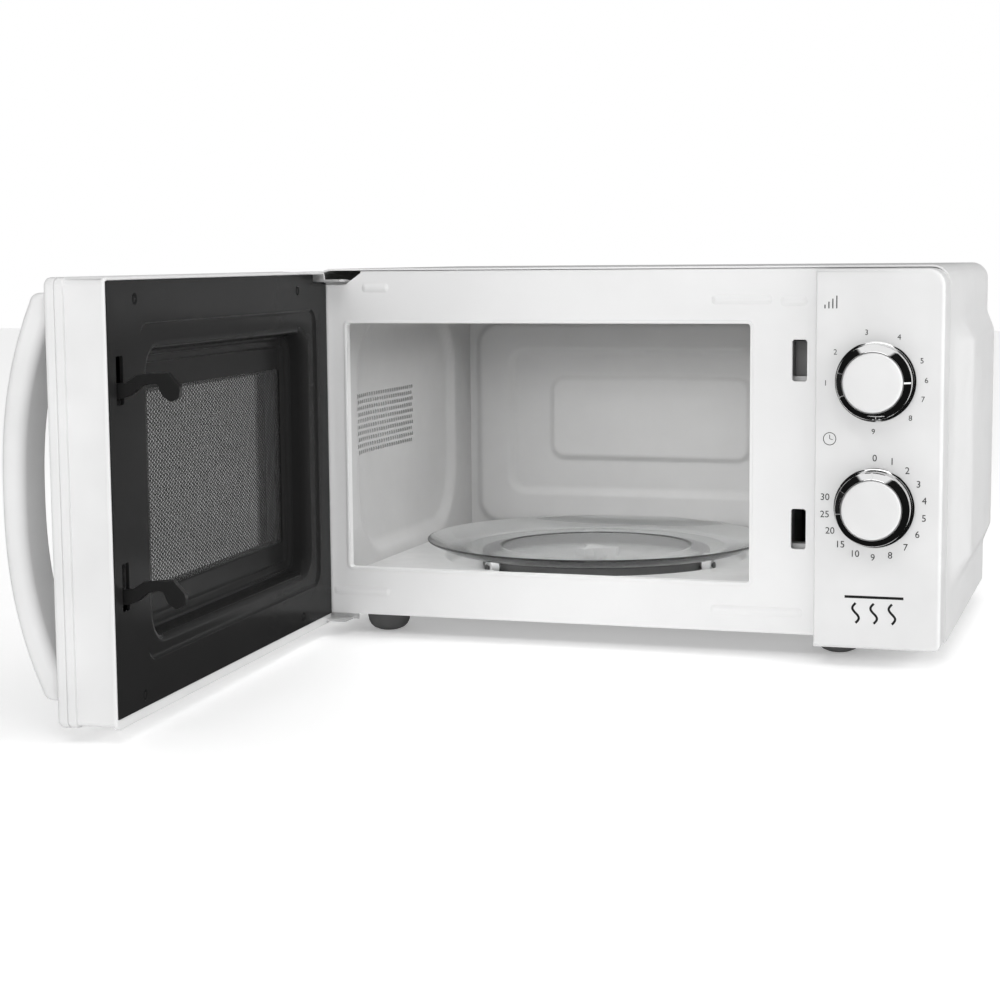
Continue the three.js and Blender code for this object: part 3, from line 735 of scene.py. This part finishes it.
def back_wall_point(x, z, side):
    """Three nested rounded pressings stiffen the back wall."""
    outer = ramp(inside(x, z, (-194, 84, 45, 214), 20) / 4, 0.3)
    middle = ramp(inside(x, z, (-165.5, 66, 71.5, 191), 14) / 4, 0.3)
    inner = ramp(inside(x, z, (-130.5, 37.5, 100, 169), 12) / 3, 0.3)
    return (x, LINER.y1 - 3 * outer + 4.4 * middle - 2.8 * inner + side, z)


def cavity_back():
    shape = Shape()
    xs = spaced(LINER.x0 + 1, 160, LINER.x1 - 1)
    zs = spaced(FLOOR.z1, 104, LINER.z1 - 1)
    grid_sheet(shape, xs, zs, back_wall_point)
    add("cavity_rear_wall", shape, CABINET, "cabinet", "cavity_enamel", ["cavity_back"])


def cavity_floor():
    shape = Shape()
    top, well, turn = FLOOR.z1, 34, 96
    outline = [(LINER.x0 + 1, LINER.y0), (LINER.x1 - 1, LINER.y0)]
    outline += [(LINER.x1 - 1, LINER.y1), (LINER.x0 + 1, LINER.y1)]
    shape.plate(outline, top - 1, top, circle(TABLE_X, TABLE_Y, 115, turn), place=facing_up)
    profile = [(115, top), (113.8, top - 0.5), (112.8, top - 2.2), (112, well + 2.6), (111, well + 0.7)]
    profile += [(109, well), (4.5, well), (4.5, well - 1), (109.5, well - 1), (112.6, well + 0.6)]
    profile += [(113.6, top - 3), (114.4, top - 1.3), (115, top - 1)]
    shape.turn(profile, turned_up(TABLE_X, TABLE_Y), turn)
    add("cavity_floor_pan", shape, CABINET, "cabinet", "cavity_enamel", ["cavity_floor"])


def rear_cover():
    """The galvanised back with its two fields of air holes and the opening for the cord's bush."""
    shape = Shape()
    fields = ((115, 195, 125, 205), (-150, -60, 150, 200))
    bush = circle(150, 60, 8, 24)
    outline = [(x, z) for x, _, z in wrap_section(REAR.y1, 1.8) if z > REAR.z0]
    outline = [(outline[0][0], REAR.z0)] + outline + [(outline[-1][0], REAR.z0)]
    openings = [[(a, c), (b, c), (b, d), (a, d)] for a, b, c, d in fields]
    shape.plate(outline, REAR.y0, REAR.y1, bush, *openings)
    point = lambda x, z, depth: (x, REAR.y0 + depth, z)
    for x0, x1, z0, z1 in fields:
        perforated(shape, (x0, z0), (x1, z1), 5.4, 4.8, 1.75, point, REAR.y1 - REAR.y0)
    add("rear_cover", shape, CABINET, "cabinet", "galvanised_steel", ["rear_panel"])


def screw_head(shape, x, z, face):
    """A pan head with a cross recess, on a face that looks to the back."""
    place = lambda r, h, a: (x + r * math.cos(a), face + h, z + r * math.sin(a))
    profile = [(0, 1.1), (0.9, 1.1), (1.0, 2.0), (2.6, 1.9), (3.4, 1.2), (3.7, 0.2)]
    shape.turn(profile + [(3.7, -0.5), (0, -0.5)], place, 24)
    for a, b in ((0.35, 1.6), (1.6, 0.35)):
        shape.block(x - a, x + a, face + 1.0, face + 1.3, z - b, z + b)


def rear_screws():
    shape = Shape()
    for x in (-200, -70, 70, 200):
        screw_head(shape, x, 244, REAR.y1)
    for x in (-205, 205):
        for z in (30, 130):
            screw_head(shape, x, z, REAR.y1)
    add("rear_screws", shape, CABINET, "cabinet", "spring_steel")


def feet():
    profile = [(0, 0), (6.6, 0), (7.6, 0.3), (11, 1.7), (13.2, 3.8), (14.6, 6.6), (15.3, 10)]
    profile += [(15.5, 14.4), (0, 14.6)]
    for end in ("front", "rear"):
        for side in ("left", "right"):
            name = f"foot_{end}_{side}"
            room = Extent(name, CABINET)
            shape = Shape()
            place = turned_up((room.x0 + room.x1) / 2, (room.y0 + room.y1) / 2)
            shape.turn(profile, place, 40)
            add(f"{name}_rubber", shape, CABINET, "cabinet", "dark_plastic", [name])


# ---------------------------------------------------------------- door

DOOR_BOX = Extent("door_outer_shell", DOOR)
BLACK = Extent("door_inner_frame", DOOR)
MESH = Extent("mesh_screen", DOOR)
HANDLE = Extent("door_handle", DOOR)
LATCH = Extent("latch_lever", DOOR)
GLASS = Extent("door_window", DOOR)

WINDOW = (38, 296, 52, 215)
GROOVE = (19, 311, 39, 232)
POCKET = (24, 249.4)
LOWER_POCKET = 12.5
HOOK_X = 337
ARMS = (83, 197)


def grown(sides, out, radius, corner=8):
    """A rounded rectangle grown by out on each side; negative shrinks it."""
    x0, x1, z0, z1 = sides
    return rounded(x0 - out, x1 + out, z0 - out, z1 + out, max(radius + out, 0.4), corner)


def door_shell():
    shape = Shape()
    box = (DOOR_BOX.x0, DOOR_BOX.x1, DOOR_BOX.z0, DOOR_BOX.z1)
    face, rim = DOOR_BOX.y0, DOOR_BOX.y1
    opening = (44, 290, 58, 209)
    outside = [(-3, face), (-1.6, face + 0.4), (-0.5, face + 1.4), (0, face + 3), (0, face + 6.5)]
    outside += [(-0.8, face + 6.8), (-0.8, face + 7.3), (-0.2, face + 7.6), (-0.2, face + 11.6)]
    outside += [(-1.4, face + 12.2), (-1.4, rim - 2.6), (0, rim - 2), (0, rim - 0.5), (-0.5, rim)]
    loops = [shape.flat(grown(box, out, 5), y) for out, y in outside]
    hollow = (DOOR_BOX.x0 + 2.2, DOOR_BOX.x1 - 2.2, BLACK.z0 - 0.3, DOOR_BOX.z1 - 2.2)
    for out, y in ((0.5, rim), (0, rim - 0.5), (0, face + 2.2)):
        loops.append(shape.flat(grown(hollow, out, 2.8), y))
    shape.bridges(loops)
    hole_steps = [(0.9, face), (0.2, face + 0.5), (0, face + 1.2), (0, face + 2.2)]
    hole = [shape.flat(grown(opening, out, 10), y) for out, y in hole_steps]
    shape.bridges(hole)
    shape.fill(loops[0], hole[0])
    shape.fill(loops[-1], hole[-1])
    shape.block(DOOR_BOX.x0 + 1.6, 12, -12, 2.6, 235, POCKET[1])
    shape.block(DOOR_BOX.x0 + 1.6, 12, -12, 2.6, LOWER_POCKET, 28)
    shell = add("door_shell", shape, DOOR, "door", "white_plastic", ["door_outer_shell"])
    pocket = Shape()
    for low, high in ((POCKET[1], DOOR_BOX.z1 + 4), (DOOR_BOX.z0 - 4, LOWER_POCKET)):
        pocket.block(DOOR_BOX.x0 - 4, POCKET[0], -9.5, rim + 4, low, high)
    carve(shell, pocket, DOOR)


def dimple(shape, x, z, face, radius=3.4):
    """A dished hole with a small screw in it, and the outline it needs in the sheet."""
    place = lambda r, h, a: (x + r * math.cos(a), face - h, z + r * math.sin(a))
    profile = [(radius, 0), (radius - 0.6, 0.5), (2.3, 1.1), (2.1, 1.2), (2.0, 0.5), (1.5, 0.2), (0, 0.15)]
    shape.turn(profile, place, 24)
    return circle(x, z, radius, 24)


def door_liner():
    """The black pressed frame: a flat rim, a stepped field and a deep window recess."""
    shape = Shape()
    face = BLACK.y1
    x0, x1, z0, z1 = BLACK.x0, BLACK.x1, BLACK.z0, BLACK.z1
    edge = [(x0, z0), (x1, z0), (x1, z1), (POCKET[0], z1), (POCKET[0], POCKET[1]), (x0, POCKET[1])]
    field = [(0, 0), (-0.5, -0.25), (-1.1, -0.95), (-1.9, -1.35), (-3.4, -1.5)]
    steps = [(GROOVE, out, 12, depth) for out, depth in field]
    recess = [(6, -1.5), (3.6, -1.7), (1.7, -2.8), (0.6, -4.6), (0, -7.5), (-0.3, -12.2), (-1.0, -13.0)]
    recess += [(-2.3, -13.2), (-3.0, -14.2), (-4.4, -15.0), (-7.2, -15.2), (-8.0, -16.2), (-9.2, -16.7)]
    steps += [(WINDOW, out, 14, depth) for out, depth in recess]
    lit = (48, 287, 72, 192)
    steps += [(lit, 0.6, 4, -16.8), (lit, 0, 4, -17.1), (lit, 0, 4, -17.4), (lit, 1.2, 4, -17.5)]
    loops = [shape.flat(grown(sides, out, radius), face + depth) for sides, out, radius, depth in steps]
    shape.bridges(loops)
    holes = [dimple(shape, x, z, face) for x in (55, 315) for z in (21.5, 245)]
    slots = [rounded(HOOK_X - 4.5, HOOK_X + 4.5, arm - 9.5, arm + 17.3, 1, 2) for arm in ARMS]
    shape.fill(shape.flat(edge, face), loops[0], *[shape.flat(hole, face) for hole in holes + slots])
    back = face - 2
    shape.bridge(shape.flat(edge, face), shape.flat(edge, back))
    for slot in slots:
        shape.bridge(shape.flat(slot, face), shape.flat(slot, back))
    behind = shape.flat(grown(WINDOW, 7, 14), back)
    shape.fill(shape.flat(edge, back), behind, *[shape.flat(slot, back) for slot in slots])
    shape.bridge(behind, shape.flat(grown(WINDOW, 1.5, 14), face - 13))
    add("door_liner", shape, DOOR, "door", "black_enamel", ["door_inner_frame"], smooth=40)


def door_screen():
    """The thin sheet with thousands of small holes that keeps the microwaves in."""
    shape = Shape()
    front, back = MESH.y0, MESH.y0 + 0.25
    holes = (50, 285, 74, 190)
    xs = [MESH.x0, holes[0], holes[1], MESH.x1]
    zs = [MESH.z0, holes[2], holes[3], MESH.z1]
    point = lambda x, z, side: (x, front + side * (back - front), z)
    grid_sheet(shape, xs, zs, point, holes, rimmed=False)
    upright = lambda z, x, depth: (x, front + depth, z)
    perforated(shape, (holes[2], holes[0]), (holes[3], holes[1]), 2.6, 2.25, 0.86, upright, back - front)
    add("door_screen", shape, DOOR, "door", "black_enamel", ["mesh_screen"])


def door_panes():
    panes = [("door_film", "window_film", "clear_film"), ("door_glass", "door_window", "tinted_window")]
    for name, node, slot in panes:
        room = Extent(node, DOOR)
        shape = Shape()
        shape.plate(rounded(room.x0, room.x1, room.z0, room.z1, 13, 8), room.y0, room.y1)
        add(name, shape, DOOR, "door", slot, [node], bevel=0.15)


def handle_grip():
    """A bowed grip: level slices from end to end, thick in the middle and blended to the door."""
    shape = Shape()
    root, out, thickness, inner_reach = HANDLE.y1, HANDLE.y1 - HANDLE.y0, 14, 0.87
    end, nose = 10.5, 3.5
    middle, half = (HANDLE.z0 + HANDLE.z1) / 2, (HANDLE.z1 - HANDLE.z0) / 2
    loops = []
    for n in range(97):
        s = math.sin(math.pi * (n / 96 - 0.5))
        short = max(0, nose - half * (1 - abs(s)))
        shrink = nose - math.sqrt(max(0, nose ** 2 - short ** 2))
        front = root - end - (out - end) * (1 - abs(s) ** 2.4) + shrink
        inner = root - (out - thickness) * (1 - min(1, abs(s) / inner_reach) ** 2.4)
        depth = inner - front
        radius = min(6.2, depth * 0.47)
        z = middle + s * half
        outline = rounded(HANDLE.x0 + shrink, HANDLE.x1 - shrink, front, inner, radius, 7)
        loops.append(shape.loop([(x, y, z) for x, y in outline]))
    shape.bridges(loops)
    shape.fill(loops[0])
    shape.fill(loops[-1])
    add("handle_grip", shape, DOOR, "door", "white_plastic", ["door_handle"], smooth=70)


def latch_hooks():
    """One lever with two arms: each leaves its slot, steps up and ends in a turned-down head."""
    shape = Shape()
    shape.block(HOOK_X - 4, HOOK_X + 4, -13, -5, LATCH.z0, ARMS[1] + 8)
    under = [(-6, -6.7), (8, -5.4), (13, -3.4), (18, 0.9), (24, 2.6), (27.6, 2.4), (31, -4.6), (35.6, -7.2)]
    over = [(40.2, -5), (41, -1), (40.6, 1.5), (34, 8.6), (24, 8.2), (16, 7.2), (9, 2.8), (-6, 2.4)]
    for arm in ARMS:
        outline = [(y, arm + z) for y, z in under + over]
        shape.plate(outline, HOOK_X - 2.4, HOOK_X + 2.4, place=facing_side)
    add("latch_hooks", shape, DOOR, "latch", "black_plastic", ["latch_lever"], bevel=0.7)


# ---------------------------------------------------------------- controls

DIAL_X = 177.2
POWER_Z, TIMER_Z = 185.7, 105
CAP_RADIUS = 18.9


def fascia():
    shape = Shape()
    face, back = PANEL.y0, PANEL.y1
    steps = [(2.6, face), (1.5, face + 0.25), (0.6, face + 0.9), (0.12, face + 1.9), (0, face + 3)]
    steps += [(0, back), (2.5, back), (2.5, face + 2.5)]
    small, large = 4, 11
    low_turns, high_turns = np.linspace(0, math.pi / 2, 5), np.linspace(0, math.pi / 2, 11)
    loops = []
    for inset, y in steps:
        x0, x1, z0, z1 = PANEL.x0 + inset * 0.5, PANEL.x1 - inset, PANEL.z0 + inset, PANEL.z1 - inset
        outline = [(x0, z0)]
        for a in low_turns:
            outline.append((x1 - small + small * math.sin(a), z0 + small - small * math.cos(a)))
        for a in high_turns:
            outline.append((x1 - large + large * math.cos(a), z1 - large + large * math.sin(a)))
        outline += [(x0, z1)]
        loops.append(shape.flat(outline, y))
    shape.bridges(loops)
    shape.fill(loops[0])
    shape.fill(loops[-1])
    add("panel_fascia", shape, CABINET, "cabinet", "white_plastic", ["control_panel"], smooth=40)


def around(z, clockwise, radius):
    angle = math.radians(clockwise)
    return DIAL_X + radius * math.sin(angle), z + radius * math.cos(angle)


def printing():
    """Generic dial figures and symbols in dark ink: no words."""
    shape = Shape()
    face, ink = PANEL.y0 - 0.05, 0.06
    for n, minutes in enumerate([*range(11), 15, 20, 25, 30]):
        figure(shape, str(minutes), *around(TIMER_Z, 20.1 * n, 32), 4.3, face)
    for n, clockwise in enumerate((-92, -54, -11, 27, 65, 88, 110, 136, 182)):
        figure(shape, str(n + 1), *around(POWER_Z, clockwise, 31.8), 3.4, face)
    for n in range(4):
        x = 144.6 + 2.5 * n
        shape.block(x - 0.35, x + 0.35, face, face + ink, 232, 234.4 + 1.9 * n)
    clock = (148.4, 148.8)
    shape.plate(circle(*clock, 4.2, 40), face, face + ink, circle(*clock, 3.75, 40))
    stroke(shape, [(clock[0], clock[1] + 2.6), clock], 0.4, face, face + ink)
    stroke(shape, [clock, (clock[0] + 1.9, clock[1] - 0.5)], 0.4, face, face + ink)
    for n in range(3):
        middle = 166.2 + 11.6 * n
        wave = [(middle + 2.1 * math.sin(2 * math.pi * t), 30 + 13 * t) for t in np.linspace(0, 1, 17)]
        stroke(shape, wave, 1.5, face, face + ink)
    stroke(shape, [(159, 47), (196.6, 47)], 1.7, face, face + ink)
    add("panel_print", shape, CABINET, "cabinet", "black_plastic")


def knob(name, z, pointer):
    """A white cap in a chromed bevelled ring, with a white pointer across the bevel."""
    face = PANEL.y0
    place = turned_forward(DIAL_X, z, face)
    cap = Shape()
    crown = [(0, 16.6), (14, 16.55), (17.4, 16.3), (18.4, 15.9)]
    cap.turn(crown + [(CAP_RADIUS, 15.1), (CAP_RADIUS, 1), (0, 1)], place, 96)
    add(f"{name}_cap", cap, CABINET, name, "white_plastic", [name], smooth=60)
    ring = Shape()
    profile = [(CAP_RADIUS + 0.3, 1), (CAP_RADIUS + 0.3, 14.6), (CAP_RADIUS + 0.6, 14.9), (19.9, 14.7)]
    profile += [(23.2, 11.8), (23.8, 11.0), (24.3, 3.2), (24.6, 2.2), (25.5, 1.7), (25.8, 1.2), (25.6, 0.8)]
    ring.turn(profile + profile[:1], place, 128)
    add(f"{name}_bezel", ring, CABINET, name, "chrome", [f"{name}_ring"], smooth=30)
    mark = Shape()
    turn = math.radians(pointer)
    ends = [(19.4, 15.3), (23.6, 11.7)]
    corners = []
    for radius, height in ends:
        for side in (-0.55, 0.55):
            x = DIAL_X + radius * math.sin(turn) + side * math.cos(turn)
            up = z + radius * math.cos(turn) - side * math.sin(turn)
            corners.append((x, up, height))
    order = (0, 1, 3, 2)
    top = mark.loop([(corners[i][0], face - corners[i][2], corners[i][1]) for i in order])
    low = mark.loop([(corners[i][0], face - corners[i][2] + 1.5, corners[i][1]) for i in order])
    mark.faces += [tuple(top), tuple(low)]
    mark.bridge(top, low)
    add(f"{name}_pointer", mark, CABINET, name, "white_plastic")


# ---------------------------------------------------------------- turntable

WHEEL_Z, WHEEL_ORBIT, FIRST_WHEEL = 39.7, 92, -131


def turntable_plate():
    shape = Shape()
    z, rim, radius = PLATE.z0, PLATE.z1, (PLATE.x1 - PLATE.x0) / 2
    profile = [(0, z), (97, z), (101, z + 0.4), (106, z + 1.2), (114, z + 3.2), (121, z + 6)]
    profile += [(radius - 0.8, rim - 1.6), (radius - 0.15, rim - 1), (radius, rim - 0.5)]
    profile += [(radius - 0.3, rim - 0.1), (radius - 0.9, rim), (124.6, rim - 0.6), (119, z + 8.4)]
    profile += [(111, z + 5.9), (103, z + 4.5), (96, z + 4.2), (74, z + 4.2), (72.2, z + 4.1)]
    profile += [(71.2, z + 3.7), (70, z + 3.5), (0, z + 3.5)]
    shape.turn(profile, turned_up(TABLE_X, TABLE_Y), 160)
    add("turntable_plate", shape, CABINET, "turntable", "turntable_glass", ["turntable_glass"], smooth=60)


def wheel_place(turn, offset=0.0):
    """Turned about the wheel's own axle, which points outwards from the turntable's middle."""
    along = Vector((math.cos(turn), math.sin(turn)))
    across = Vector((-along.y, along.x))

    def place(r, h, a):
        reach = WHEEL_ORBIT + offset + h
        x = TABLE_X + along.x * reach + across.x * r * math.cos(a)
        y = TABLE_Y + along.y * reach + across.y * r * math.cos(a)
        return (x, y, WHEEL_Z + r * math.sin(a))

    return place


def roller_carrier():
    shape = Shape()
    band = [(82.6, 35.6), (85.8, 35.6), (86, 36), (86, 43), (85.4, 43.8), (83, 43.8), (82.5, 43.2)]
    shape.turn(band + [(82.5, 36), (82.6, 35.6)], turned_up(TABLE_X, TABLE_Y), 128)
    axle = [(0, -6.4), (3.2, -6.4), (3.0, -4), (1.5, -3.9), (1.5, 4.2), (2.6, 4.3), (2.6, 4.9)]
    for n in range(3):
        place = wheel_place(math.radians(FIRST_WHEEL + 120 * n))
        shape.turn(axle + [(2.1, 5.2), (0, 5.2)], place, 24)
    add("roller_carrier", shape, CABINET, "roller_ring", "dark_plastic", ["roller_ring"], smooth=40)


def roller_wheels():
    profile = [(1.8, -3.5), (4.6, -3.5), (5.2, -3.2), (5.5, -2.6), (5.5, 2.6), (5.2, 3.2)]
    profile += [(4.6, 3.5), (3.4, 3.5), (3.1, 3.1), (1.8, 3.1), (1.8, -3.5)]
    for n in range(3):
        shape = Shape()
        shape.turn(profile, wheel_place(math.radians(FIRST_WHEEL + 120 * n)), 48)
        name = f"roller_wheel_{n + 1}"
        add(f"{name}_tyre", shape, CABINET, name, "ceramic_white", [name], smooth=40)


# ---------------------------------------------------------------- studio

CAMERA_SPOT = (352.5, -1353.6, 266.1)
CAMERA_YAW, CAMERA_PITCH, CAMERA_ROLL = 17.9, 6.7, -0.5
CAMERA_LENS = 74.376
GROUND_REACH = 6


def camera():
    yaw, pitch, roll = (math.radians(a) for a in (CAMERA_YAW, CAMERA_PITCH, CAMERA_ROLL))
    ahead = Vector((-math.sin(yaw) * math.cos(pitch), math.cos(yaw) * math.cos(pitch), -math.sin(pitch)))
    level = Vector((math.cos(yaw), math.sin(yaw), 0))
    up = level.cross(ahead)
    right = level * math.cos(roll) + up * math.sin(roll)
    above = up * math.cos(roll) - level * math.sin(roll)
    data = bpy.data.cameras.new("camera")
    data.lens = CAMERA_LENS
    data.sensor_width = 36
    holder = bpy.data.objects.new("camera", data)
    spot = CABINET @ Vector(CAMERA_SPOT)
    holder.matrix_world = Matrix.Translation(spot) @ Matrix((right, above, -ahead)).transposed().to_4x4()
    bpy.context.scene.collection.objects.link(holder)
    bpy.context.scene.camera = holder


def softbox(name, spot, target, width, height, power, mirrored=True, spread=180):
    data = bpy.data.lights.new(name, "AREA")
    data.shape = "RECTANGLE"
    data.size, data.size_y = width, height
    data.energy = power
    data.spread = math.radians(spread)
    holder = bpy.data.objects.new(name, data)
    holder.location = spot
    holder.rotation_euler = (Vector(target) - Vector(spot)).to_track_quat("-Z", "Y").to_euler()
    holder.visible_glossy = mirrored
    holder.visible_camera = False
    bpy.context.scene.collection.objects.link(holder)


def surroundings():
    """White behind the object for the camera, and a sky that lights it from above.

    Mirrors see a darker studio, whose bright ceiling starts sharply, as under one big softbox.
    """
    world = bpy.data.worlds.new("studio")
    bpy.context.scene.world = world
    world.use_nodes = True
    nodes, links = world.node_tree.nodes, world.node_tree.links
    nodes.clear()
    direction = nodes.new("ShaderNodeTexCoord").outputs["Generated"]
    path = nodes.new("ShaderNodeLightPath")

    def sky(towards, low, high, dim, bright):
        facing = nodes.new("ShaderNodeVectorMath")
        facing.operation = "DOT_PRODUCT"
        facing.inputs[1].default_value = towards
        links.new(direction, facing.inputs[0])
        shade = nodes.new("ShaderNodeMapRange")
        shade.interpolation_type = "SMOOTHSTEP"
        spread = {"From Min": low, "From Max": high, "To Min": dim, "To Max": bright}
        for socket, value in spread.items():
            shade.inputs[socket].default_value = value
        links.new(facing.outputs["Value"], shade.inputs["Value"])
        background = nodes.new("ShaderNodeBackground")
        links.new(shade.outputs["Result"], background.inputs["Strength"])
        return background.outputs["Background"]

    def choose(ray, otherwise, chosen):
        mix = nodes.new("ShaderNodeMixShader")
        links.new(path.outputs[ray], mix.inputs["Fac"])
        links.new(otherwise, mix.inputs[1])
        links.new(chosen, mix.inputs[2])
        return mix.outputs["Shader"]

    seen = nodes.new("ShaderNodeBackground")
    seen.inputs["Color"].default_value = (1, 1, 1, 1)
    lit = sky((0.25, 0.4, 0.88), 0.0, 0.55, 0.05, 1.05)
    mirrored = sky((0, 0.1, 0.995), 0.8, 0.86, 0.01, 1.2)
    output = nodes.new("ShaderNodeOutputWorld")
    shown = choose("Is Camera Ray", choose("Is Glossy Ray", lit, mirrored), seen.outputs["Background"])
    links.new(shown, output.inputs["Surface"])


def ground():
    data = bpy.data.meshes.new("ground")
    corners = [(-1, -1), (1, -1), (1, 1), (-1, 1)]
    data.from_pydata([(a * GROUND_REACH, b * GROUND_REACH, 0) for a, b in corners], [], [(0, 1, 2, 3)])
    floor = bpy.data.objects.new("ground", data)
    bpy.context.scene.collection.objects.link(floor)
    finish = Finish("ground", grey(0.9), 0.8, Emission_Color=(1, 1, 1, 1), Emission_Strength=0.27)
    finish.tint(finish.noise(400, 2), grey(0.89), grey(0.91))
    data.materials.append(finish.material)
    floor.visible_glossy = False


dress_frame()
outer_wrap()
front_plate()
mouth_lip()
face_beads()
cavity_walls()
cavity_back()
cavity_floor()
rear_cover()
rear_screws()
feet()
door_shell()
door_liner()
door_screen()
door_panes()
handle_grip()
latch_hooks()
fascia()
printing()
knob("power_knob", POWER_Z, 90)
knob("timer_knob", TIMER_Z, 0)
turntable_plate()
roller_carrier()
roller_wheels()

camera()
surroundings()
ground()
softbox("key", (0.1, -1.5, 2.2), (0, 0, 0.1), 1.8, 0.9, 10)
softbox("front", (-0.2, -4.6, 0.72), (0, 0, 0.13), 2.9, 1.5, 86, mirrored=False)
softbox("side", (1.9, -0.1, 0.7), (0.2, 0, 0.13), 1.0, 0.9, 15, mirrored=False)
mouth_top = CABINET @ Vector((-50, 120, 222))
softbox("cavity", mouth_top, mouth_top - Vector((0, 0, 0.1)), 0.24, 0.2, 0.4, mirrored=False, spread=140)
bpy.context.scene.view_settings.view_transform = "Standard"
